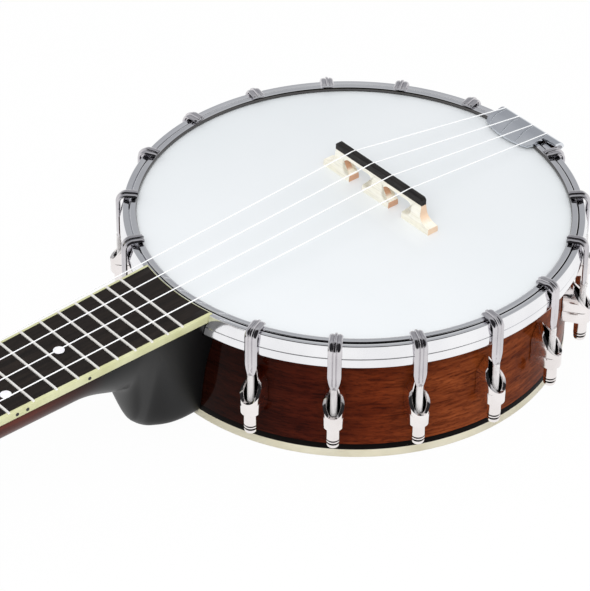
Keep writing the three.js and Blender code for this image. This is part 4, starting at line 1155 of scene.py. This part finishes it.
def cap_strip():
    """A strip of columns along the cap. Each column is a ring of four corners and their roundings, and
    its top follows the chamfers and the slots: the top is the lower of the chamfer's and the slots'
    heights."""
    chamfer, slot_half, slot_depth = 1.0, 0.62, 0.7
    slots = string_places(bridge_spacing)
    bevel = np.linspace(0, chamfer, 5)
    y = np.unique(np.concatenate([
        np.linspace(-cap_half, cap_half, 90), cap_half - bevel, bevel - cap_half,
        *(place + np.linspace(-0.7, 0.7, 11) for place in slots)]))
    top = np.minimum(cap_high[2], cap_high[2] - chamfer + (cap_half - np.abs(y)))
    near = np.abs(y[:, None] - slots[None]).min(axis=1) / slot_half
    top -= np.where(near < 1, slot_depth * np.sqrt(np.clip(1 - near ** 2, 0, 1)) ** 0.6, 0)
    ring = rounded(box_corners(-0.5, 0.5, 0, 1), 0.09, 3)
    x = bridge_x + top_thickness * ring[None, :, 0] + 0 * y[:, None]
    z = cap_low[2] + (top - cap_low[2])[:, None] * ring[None, :, 1]
    return skin(np.stack([x, y[:, None] + 0 * x, z], -1))


add_piece("bridge_cap_strip", [cap_strip()], ebony, ["bridge_cap"], crease=40)
print("cap strip points:", len(cap_strip()[0]))

# %% [markdown]
# ## Neck
# The neck leans back two degrees from the skin, and the headstock ten more. Its parts are drawn in a
# frame of their own, with X zero at the end of the fingerboard, and then turned. The back is one loft:
# every cross-section is half a superellipse, round on the shaft and squarer on the heel, which also
# draws in towards its cap.

# %% Frames of the neck and the headstock
board_length, neck_length = 309.5, 314.5
nut_half_width = 17.3
neck_top = -board_thickness - close_fit
face_drop = 1.0
neck_tilt, head_tilt = math.radians(2), math.radians(10)
head_thickness, head_length = 13.0, 148.0


def leaned(points, angle, shift):
    """Points turned about Y, so that the end at -X sinks, and shifted."""
    x, y, z = np.moveaxis(np.asarray(points, float), -1, 0)
    c, s = math.cos(angle), math.sin(angle)
    return np.stack([x * c - z * s, y, x * s + z * c], -1) + shift


def on_neck(points):
    """Points of the neck's frame, whose X zero is the end of the board, on the instrument."""
    return leaned(points, neck_tilt, np.array([-board_end_radius, 0, pot_height]))


def on_head(points):
    """Points of the headstock's frame, whose X zero is its root and whose Z zero is its face."""
    return on_neck(leaned(points, head_tilt, np.array([-neck_length, 0, neck_top - face_drop])))


def smoothstep(x, low, high):
    """0 up to the low place and 1 from the high one, with 3t^2 - 2t^3 between them."""
    share = np.clip((x - low) / (high - low), 0, 1)
    return share * share * (3 - 2 * share)


def board_half(x):
    """Half of the board's width at x, which shrinks evenly to the nut."""
    return board_half_width + (nut_half_width - board_half_width) * np.clip(-x / board_length, 0, 1)


print("nut end of the board at", np.round(on_neck([-board_length, 0, 0]), 2))

# %% [markdown]
# ### Shaft and heel
# A neck is carved from one block, and its heel is the deepest part, because it carries the pull of the
# strings into the rim. Stations along the neck give its depth and width, and a ring round each station
# gives the section, so the cove in front of the heel comes out smooth.

# %% Neck loft
heel_start = 51.0
depth_at_nut, depth_at_heel = 14.0, 17.0
heel_depth = pot_height + neck_top - 2.6
round_power, square_power, heel_narrowing = 2.2, 9.0, 0.46


def heel_share(x):
    """How much of the heel's drop is done at x: a slow cove, a steep front and a round nose, which are
    three smooth steps with weights that add up to 1. The places follow the heel's outline."""
    return (0.29 * smoothstep(x, -70, -33) + 0.42 * smoothstep(x, -38.5, -29.5)
            + 0.29 * smoothstep(x, -38, -21))


def neck_depth(x):
    """The shaft deepens evenly to the heel, which drops by its share. Past the nut the shaft thins to
    the headstock."""
    share = np.clip((neck_length + x) / (neck_length - heel_start), 0, 1)
    shaft = depth_at_nut + (depth_at_heel - depth_at_nut) * share
    depth = shaft + (heel_depth - shaft) * heel_share(x)
    past = np.clip((-neck_length - x) / head_thickness, 0, 1)
    thinned = depth_at_nut + (head_thickness - 0.4 - depth_at_nut) * past
    return np.where(x < -neck_length, thinned, depth)


def neck_shell():
    """Stations along the neck, each a ring: a flat top, then half a superellipse, whose width and depth
    are powers of the cosine and the sine. It is squarest against the rim. On the heel the width also
    shrinks with a power of what is left of the depth."""
    front = hoop_radius - rim_radius + 7
    x = np.concatenate([np.linspace(front, -80, 120), np.linspace(-80, -neck_length, 60)[1:],
                        -neck_length - np.array([0.02, 3, 6, 9, head_thickness])])[:, None]
    heel = heel_share(x)
    a = np.concatenate([np.linspace(0, math.pi, 9)[1:-1], np.linspace(math.pi, 2 * math.pi, 65)])[None]
    c, s = np.cos(a), np.clip(-np.sin(a), 0, 1)
    c = np.where(np.abs(c) < 1e-9, 0, c)
    s = np.where(s < 1e-9, 0, s)
    squareness = round_power + (square_power - round_power) * smoothstep(x, -25.7, -4)
    power = np.where(s > 0, 2 / squareness, 1)
    deep = s ** power
    narrow = 1 - heel_narrowing * (1 - (1 - deep) ** 1.8) * heel
    y = (board_half(x) - 0.4) * np.sign(c) * np.abs(c) ** power * np.where(s > 0, narrow, 1)
    face = neck_top - face_drop + (x + neck_length) * math.tan(head_tilt) - 0.3
    z = np.minimum(neck_top - deep * neck_depth(x), np.where(x < -neck_length, face, neck_top))
    return moved(skin(np.stack([x + 0 * a, y, z + 0 * a], -1)), on_neck)


print("heel deepens from", depth_at_heel, "to", round(float(neck_depth(np.array(0.0))), 1), "mm")

# %% [markdown]
# ### Headstock, and the room for the pot
# The headstock is sawn from a flat blank, so it is an outline raised to its thickness. It is a piece of
# its own beside the shaft, since joining them with a Boolean is fragile and wouldn't show. The heel is
# then hollowed to fit round the rim and the hoops.

# %% Headstock, and the room for the pot
def head_outline():
    """From the nut the sides swell in an S curve to the cheeks, run straight and round into a crown
    with a shallow dip: cubic and quadratic curves, mirrored."""
    waist, wide, cheek, tip = 18.4, 31.0, 36.0, 20.0
    t = np.linspace(0, 1, 17)[:, None]
    swell = [[0, waist], [-cheek / 2, waist], [-cheek / 2, wide], [-cheek, wide]]
    swell = sum(w * np.array([p]) for w, p in zip(
        ((1 - t) ** 3, 3 * (1 - t) ** 2 * t, 3 * (1 - t) * t ** 2, t ** 3), swell))
    curve = [((1 - t) ** 2 * np.array([p]) + 2 * (1 - t) * t * np.array([q]) + t ** 2 * np.array([r]))
             for p, q, r in (
                 ([14 - head_length, wide], [-head_length, wide], [-head_length, tip]),
                 ([-head_length, tip], [2.5 - head_length, tip / 2], [5 - head_length, 0]))]
    half = np.vstack([swell, curve[0], curve[1][1:]])
    return np.vstack([half, half[-2::-1] * [1, -1]])


neck_piece = add_piece("neck_shaft", [neck_shell()], neck_lacquer, ["neck"],
                       crease=42)
head_shell = moved(upright(head_outline(), -head_thickness, 0, 1.1, 4), on_head)
add_piece("headstock", [head_shell], neck_lacquer, ["neck"], crease=42)
hoop_room, rim_room, step_height = hoop_radius + 0.5, rim_radius + close_fit, flesh_bottom - close_fit
room = lathe([[0, -10], [rim_room, -10], [rim_room, step_height], [hoop_room, step_height],
              [hoop_room, 150], [0, 150]])
carve(neck_piece, [room], 42)
print("neck faces:", len(neck_piece.data.polygons))

# %% [markdown]
# ## Fingerboard
# The board is a black plank with cream binding round three sides, nickel frets hammered into slots and
# pearl dots let in flush. The place of each fret follows one rule: going up one semitone shortens the
# string by the twelfth root of two. The binding is one strip carried round the board's outline.

# %% Board and binding
scale_length = 432.0
binding_width, end_binding = 1.6, 0.4
fret_count = 20


def board_edge():
    """The line round the board: down one side, along the end, which follows the hoop's circle, and back
    up the other side, with small round corners."""
    steps = 40
    near_y = np.linspace(-1, 1, steps + 1) * (board_half_width - 0.02)
    end = np.column_stack([board_end_radius - np.sqrt(board_end_radius ** 2 - near_y ** 2), near_y])
    corner = [0.8 if 0 < i < steps else 2.0 for i in range(steps + 1)]
    points = np.vstack([[[-board_length, -nut_half_width]], end, [[-board_length, nut_half_width]]])
    return smooth_path(points, [0.1, *corner, 0.1], 6)


edge_line = board_edge()
along_edge = directions(edge_line)
strip_width = np.where(np.abs(along_edge[:, 1]) > 0.7, end_binding, binding_width)[:, None]
inner_line = edge_line + strip_width * np.column_stack([-along_edge[:, 1], along_edge[:, 0]])


def binding_shell():
    """A section of the binding at every point of the line: across is a share from the outer to the
    inner line, and the outer top edge is rounded."""
    ring = rounded(box_corners(0, 1, -board_thickness, 0), [0.2, 0.05, 0.05, 0.55])
    across = ring[:, 0][None, :, None]
    plan = edge_line[:, None] * (1 - across) + inner_line[:, None] * across
    z = np.broadcast_to(ring[:, 1], (len(edge_line), len(ring)))
    return moved(skin(np.concatenate([plan, z[..., None]], axis=-1)), on_neck)


def board_shell():
    """The plank inside the binding: rows of points across it, at shares of the way from one long side
    to the other, from the nut to the curved end."""
    v = np.linspace(-1, 1, 41)[None]
    u = np.linspace(0, 1, 40)[:, None]
    half = board_half_width - binding_width
    end_circle = board_end_radius + end_binding
    end_x = board_end_radius - np.sqrt(end_circle ** 2 - (v * half) ** 2)
    x = -board_length + (end_x + board_length) * u
    y = (board_half(x) - binding_width) * v
    top = np.stack([x, y, 0 * x], -1)
    base = np.stack([x, y, 0 * x - board_thickness + 0.05], -1)
    return moved(skin(np.concatenate([top, base[:, ::-1]], axis=1)), on_neck)


add_piece("board_binding_strip", [binding_shell()], board_cream, ["fingerboard"])
add_piece("fingerboard_plank", [board_shell()], board_wood, ["fingerboard"])
print("line round the board:", len(edge_line), "points")

# %% [markdown]
# ### Frets and dots
# A fret is half round above the board, and its ends are filed down so that they don't catch the hand.
# The dots sit in the middle between two frets, two of them at the octave, and small black ones on the
# board's edge show the player the same places.

# %% Frets and dots
dot_rise = 0.06


def fret_place(number):
    """The nut's place plus the scale times 1 - 2^(-number / 12)."""
    return -board_length + scale_length * (1 - 2 ** (-number / 12))


def fret_shell(number):
    """Half an ellipse carried across the board, sinking at both ends in a quarter circle."""
    x = fret_place(number)
    half = float(board_half(np.array(x))) - 0.4
    t = np.linspace(-1, 1, 25)
    y = half * np.sin(t * math.pi / 2)
    rise = np.sqrt(np.clip(1 - np.clip((np.abs(y) - half + 1.0) / 1.0, 0, 1) ** 2, 0, 1))[:, None]
    a = np.linspace(0, math.pi, 13)[None]
    ring_x = x + 0.6 * np.cos(a) + 0 * rise
    ring_z = -0.15 + (0.15 + 0.9 * np.sin(a) ** 0.8) * (0.15 + 0.85 * rise)
    return moved(skin(np.stack([ring_x, y[:, None] + 0 * a, ring_z], -1)), on_neck)


def disc(x, y, radius):
    """A flat dot with a rounded rim, let into the board."""
    profile = smooth_path([[0, -0.5], [radius, -0.5], [radius, dot_rise], [0, dot_rise]], 0.05)
    return moved(lathe(profile, 32), lambda p: on_neck(p + [x, y, 0]))


def cell(number):
    """The middle between a fret and the one before it."""
    return (fret_place(number) + fret_place(number - 1)) / 2


dots = [(cell(n), 0.0) for n in (5, 7, 10, 15)] + [(cell(12), y) for y in (-9.5, 9.5)]
side_marks = [cell(n) for n in (5, 7, 10, 15)] + [cell(12) - 2.7, cell(12) + 2.7]


def side_dot(x):
    """A small disc on its edge, in the near side of the binding."""
    flat = lathe(smooth_path([[0, -0.6], [0.85, -0.6], [0.85, dot_rise], [0, dot_rise]], 0.03), 24)
    y = -float(board_half(np.array(x)))
    return moved(flat, lambda p: on_neck(np.stack([p[:, 0] + x, y - p[:, 2], p[:, 1] - 2.1], -1)))


add_piece("frets", [fret_shell(n) for n in range(1, fret_count + 1)], fret_silver, ["fingerboard"])
add_piece("pearl_dots", [disc(x, y, 2.6) for x, y in dots], pearl, ["fingerboard"])
add_piece("side_dots", [side_dot(x) for x in side_marks], black_dot, ["fingerboard"])
print("twelfth fret at", round(fret_place(12) + board_length, 2), "mm from the nut")

# %% [markdown]
# ## Tuners
# A geared tuner is a worm on the button's shaft that turns a wheel on the string's post, sixteen to
# one. Posts and buttons must be pieces of their own, because they ride on bodies of their own. A post is
# a turned shape, and a bush in the headstock's face keeps it upright against the string's pull.

# %% Posts and bushes
post_offsets = ((44.0, 18.0), (94.0, 19.5))
tuners = [(-along, side * off, side) for side in (1, -1) for along, off in post_offsets]
case_depth, case_length, case_width = 8.5, 19.0, 14.0
case_floor = -head_thickness - close_fit - case_depth
shaft_height = case_floor + case_depth / 2
worm_gap = 5.8
post_radius, waist_radius, waist_start, waist_height, post_height = 3.0, 2.1, 5.5, 4.0, 13.0
string_radius = 0.28


def shifted(shell, x, y, z=0.0):
    """The shell moved by three distances."""
    return moved(shell, lambda p: p + [x, y, z])


def post_shell():
    """A turned post: gear, stem, and a waist for the string under a rounded crown."""
    r, low, gear = post_radius, case_floor + 1.6, shaft_height - 1.1
    waist_end = waist_start + waist_height
    profile = [[0, low], [r, low], [r, gear], [4, gear], [4, gear + 2.2], [r, gear + 2.2],
               [r, waist_start], [waist_radius, waist_start + 0.9], [waist_radius, waist_end - 0.9],
               [r, waist_end], [r, post_height - 0.3], [2.2, post_height], [0, post_height]]
    return lathe(smooth_path(profile, [.1, .1, .1, .1, .1, .1, .2, .5, .5, .3, .6, .5, .1], 4), 40)


def bush_shell():
    """The threaded bush in the face of the headstock: a thin washer with a bevelled collar."""
    outline = [[3.35, -1], [4.2, -1], [5.6, 0.02], [5.6, 0.7], [4.6, 1.4], [3.35, 1.6]]
    return lathe(rounded(outline, 0.2), 48)


print("posts at", [tuple(round(float(v), 1) for v in tuner[:2]) for tuner in tuners])

# %% [markdown]
# ### Buttons and cases
# The button's shaft lies across the back of the headstock, and the worm on it is inside the case. The
# shaft is turned about an upright axis and then laid down. The button is flattened for the fingers: a
# superellipsoid is round like an egg and a little boxy at once.

# %% Buttons and cases
def across_bar(profile, x, side):
    """A turned profile laid along Y, outwards from the middle of the headstock."""
    return moved(lathe(smooth_path(profile, 0.35, 4), 32),
                 lambda p: np.stack([x + p[:, 0], side * p[:, 2], shaft_height + p[:, 1] * side], -1))


def knob_shell(x, side):
    """A superellipsoid: the sines and cosines of two angles, each to the power 0.8."""
    u = np.linspace(-math.pi / 2, math.pi / 2, 29)[1:-1, None]
    v = full_turn(48)[None]

    def soft(wave, power):
        return np.sign(wave) * np.abs(wave) ** power

    ring = soft(np.cos(u), 0.8)
    y = 42.5 + 6.5 * soft(np.sin(u), 0.8) + 0 * v
    return skin(np.stack([x + 7.5 * ring * soft(np.cos(v), 0.8), side * y,
                          shaft_height + 3.6 * ring * soft(np.sin(v), 0.9)], -1))


def case_shells(x, y, side):
    """The case is a rounded box under the headstock, with a boss for the shaft, an ear and its
    screw."""
    corners = np.array(box_corners(-1, 1, -1, 1))
    top, ear_y = case_floor + case_depth, -side * (case_width / 2 + 2)
    box = upright(rounded(corners * [case_length / 2, case_width / 2], 3), case_floor,
                  -head_thickness - close_fit, 1.0)
    ear = upright(4 * spokes(full_turn(32)), top - 1.2, top, 0.3)
    screw = lathe(smooth_path([[0, -2.1], [1.2, -1.9], [1.9, -1.2], [1.9, -1.0], [0, -1.0]], 0.3), 24)
    boss = moved(
        lathe(rounded([[1.75, 0], [2.9, 0], [2.9, 3.2], [2.4, 4], [1.75, 4]], 0.25), 32),
        lambda p: np.stack([p[:, 0] - worm_gap, side * (case_width / 2 - 1 + p[:, 2]),
                            shaft_height + p[:, 1]], -1))
    shells = [box, boss, shifted(ear, 0, ear_y), shifted(screw, 0, ear_y + side * -0.6, top)]
    return [moved(shifted(shell, x, y), on_head) for shell in shells]


print("button has", len(knob_shell(0, 1)[0]), "points")

# %% [markdown]
# ### Four tuners
# Each tuner is placed from its post's offset. Its case and bush stay on the instrument, its post rides
# on one moving part and its button on another, so each turns about its own line.

# %% Four tuners
for number, (x, y, side) in enumerate(tuners, start=1):
    add_piece(f"tuner_case_{number}", case_shells(x, y, side), chrome, [f"tuner_housing_{number}"])
    add_piece(f"post_bush_{number}", [moved(shifted(bush_shell(), x, y), on_head)], chrome)
    add_piece(f"tuner_post_{number}", [moved(shifted(post_shell(), x, y), on_head)], chrome,
              [f"string_post_{number}"], f"post_{number}")
    axle = x - worm_gap
    worm = across_bar([[0, abs(y) - 3], [1.5, abs(y) - 3], [1.5, abs(y) + 3], [1.25, abs(y) + 3.3],
                       [1.25, 37], [0, 37]], axle, side)
    collar = across_bar([[0, 33], [2.6, 33], [2.6, 34.2], [2.1, 34.8], [2.6, 35.4], [2.6, 37.5],
                         [0, 37.5]], axle, side)
    shells = [moved(shell, on_head) for shell in (worm, collar, knob_shell(axle, side))]
    add_piece(f"tuner_knob_{number}", shells, chrome, [f"tuner_button_{number}"], f"button_{number}")
print("post 1 on its model's box:", np.round(size_of("string_post_1"), 1).tolist())

# %% [markdown]
# ## Nut and strings
# The bone nut is already right in the working model, so it only takes a better finish. Each string is
# a thin tube along its real way: three turns on the post, over the nut and the bridge, down through the
# tailpiece. The turns are a helix and ride on the post, so they turn with it.

# %% Strings
bpy.data.objects["nut"].data.materials.clear()
bpy.data.objects["nut"].data.materials.append(bone)
nut_spacing = 9.5


def post_of(index):
    """The outer strings go to the near posts, and each string to its own side."""
    side = 1 if index < string_count / 2 else -1
    row = 0 if index in (0, string_count - 1) else 1
    return next(i for i, t in enumerate(tuners) if t[2] == side and t[0] == -post_offsets[row][0])


def string_path(index):
    """The corners of a string's way: post, nut, saddle, the tailpiece's crest and the knot."""
    x, y, side = tuners[post_of(index)]
    clear = waist_radius + string_radius + 0.05
    start = on_head([x, y - side * clear, waist_start + waist_height / 2])
    over_nut = on_neck([-board_length - 2.5, string_places(nut_spacing)[index], 1.7 + 0.1])
    saddle = [bridge_x, string_places(bridge_spacing)[index], cap_high[2] - 0.7 + string_radius + 0.1]
    tail_y = string_places(tail_spacing)[index]
    crest = [rear_reach - plate, tail_y, pot_height + 2 * close_fit + plate + string_radius]
    knot = [rear_reach - plate / 2, tail_y, head_top]
    return np.array([start, over_nut, saddle, crest, knot])


def string_shell(index):
    """The way's corners are rounded, and points are spread evenly over each stretch."""
    way = smooth_path(string_path(index), [0.1, 1.0, 1.0, 0.7, 0.1], 6)
    stretches = [np.linspace(a, b, max(2, int(np.linalg.norm(b - a) / 12)), endpoint=False)
                 for a, b in zip(way[:-1], way[1:])]
    return tube(np.vstack([*stretches, way[-1:]]), string_radius, 12)


def winding_shell(index):
    """A helix about the post: the angle grows evenly with the height."""
    x, y, side = tuners[post_of(index)]
    turns, rise = 3, 0.82
    a = np.linspace(0, 2 * math.pi * turns, 150)
    r = waist_radius + string_radius
    z = waist_start + 0.75 + rise * a / (2 * math.pi)
    way = np.column_stack([x + r * np.cos(side * a), y + r * np.sin(side * a), z])
    return tube(on_head(way), string_radius, 10)


for index in range(string_count):
    add_piece(f"string_line_{index + 1}", [string_shell(index)], nylon, [f"string_{index + 1}"])
    add_piece(f"string_winding_{index + 1}", [winding_shell(index)], nylon,
              body=f"post_{post_of(index) + 1}")
lengths = [np.linalg.norm(np.diff(string_path(i), axis=0), axis=1).sum() for i in range(string_count)]
print("strings' lengths without their turns, mm:", np.round(lengths).tolist())

# %% [markdown]
# ## Studio
# The instrument was photographed in a white tent. The floor is white and lights everything softly from
# all sides, but chrome shows what is around it: white low down, grey higher up, and black high on the
# neck's side, where the tent is open. So the world gives reflections that pattern, and gives plain even
# light to everything else.

# %% Floor
def make_floor():
    """A large square just under the instrument. Rays of the camera, of reflections and of refractions
    see most of it as plain white, and the light itself falls on its matt side."""
    reach, depth = 6000.0, -0.4
    corners = np.array([[*corner, depth] for corner in box_corners(-reach, reach, -reach, reach)])
    material, shader = new_finish("white_sweep", roughness=0.9)
    cloud = noise(material, object_place(material), 2.0)
    tint = blended(material, cloud, colour(250, 250, 250), colour(246, 246, 246))
    wire(material, shader, Base_Color=tint)
    glow = node(material, "Emission", {"Color": (1, 1, 1, 1), "Strength": 1.0})
    rays = node(material, "LightPath").outputs
    seen = worked(material, "ADD", rays["Is Camera Ray"], rays["Is Glossy Ray"])
    seen = worked(material, "ADD", seen, rays["Is Transmission Ray"])
    share = worked(material, "MULTIPLY", seen, 0.97)
    mixed = node(material, "MixShader", {0: share, 1: shader.outputs[0], 2: glow.outputs[0]})
    tree = material.node_tree
    tree.links.new(mixed.outputs[0], tree.nodes["Material Output"].inputs["Surface"])
    mesh = bpy.data.meshes.new("floor")
    mesh.from_pydata((pot_centre + MM * corners).tolist(), [], [(0, 1, 2, 3)])
    mesh.materials.append(material)
    floor = add_object("floor", mesh)


make_floor()

# %% [markdown]
# ### World and lamp
# The tent's pattern is a ramp over the height of a direction, with one dark patch round a chosen
# direction. A single large lamp gives the soft shadow, and it isn't seen in the chrome, because the
# tent's own pattern is what belongs there.

# %% World and lamp
dark_side = (-0.4132, -0.4924, 0.766)


def make_world():
    """Reflections see the tent, by the height of their direction and by its nearness to the dark side.
    The camera sees white, and every other ray meets one pale grey."""
    world = bpy.data.worlds.new("tent")
    world.use_nodes = True
    bpy.context.scene.world = world
    background = world.node_tree.nodes["Background"]
    direction = node(world, "TexCoord").outputs["Generated"]
    height = node(world, "SeparateXYZ", {"Vector": direction}).outputs["Z"]
    tent = ramp(world, spread(world, height, -1.0, 1.0), [
        (0.50, (1, 1, 1, 1)), (0.625, (0.74, 0.75, 0.76, 1)), (0.725, (0.42, 0.43, 0.45, 1)),
        (0.80, (0.44, 0.45, 0.47, 1)), (0.86, (0.50, 0.51, 0.53, 1)), (0.925, (0.58, 0.59, 0.60, 1))])
    nearness = node(world, "VectorMath", {0: direction, 1: dark_side}, operation="DOT_PRODUCT")
    dark = spread(world, nearness.outputs["Value"], 0.60, 0.669)
    tent = blended(world, dark, tent, (0.02, 0.02, 0.022, 1))
    rays = node(world, "LightPath").outputs
    level = blended(world, rays["Is Glossy Ray"], (0.745, 0.75, 0.76, 1), tent)
    shown = blended(world, rays["Is Camera Ray"], level, (1, 1, 1, 1))
    world.node_tree.links.new(shown, background.inputs["Color"])


def add_lamp(name, place, aim, size, watts):
    """A square soft light that looks at a point. Places are in millimetres from the pot's middle.
    Reflections don't see it."""
    data = bpy.data.lights.new(name, "AREA")
    data.shape = "SQUARE"
    data.size = size
    data.energy = watts
    lamp = add_object(name, data)
    spot = Vector(pot_centre + MM * np.array(place))
    target = Vector(pot_centre + MM * np.array(aim))
    turn = (target - spot).to_track_quat("-Z", "Y").to_matrix().to_4x4()
    lamp.matrix_world = Matrix.Translation(spot) @ turn
    lamp.visible_glossy = False


make_world()
add_lamp("key", (-440, -420, 820), (0, 0, 50), 0.8, 5.3)
bpy.context.scene.view_settings.view_transform = "Standard"
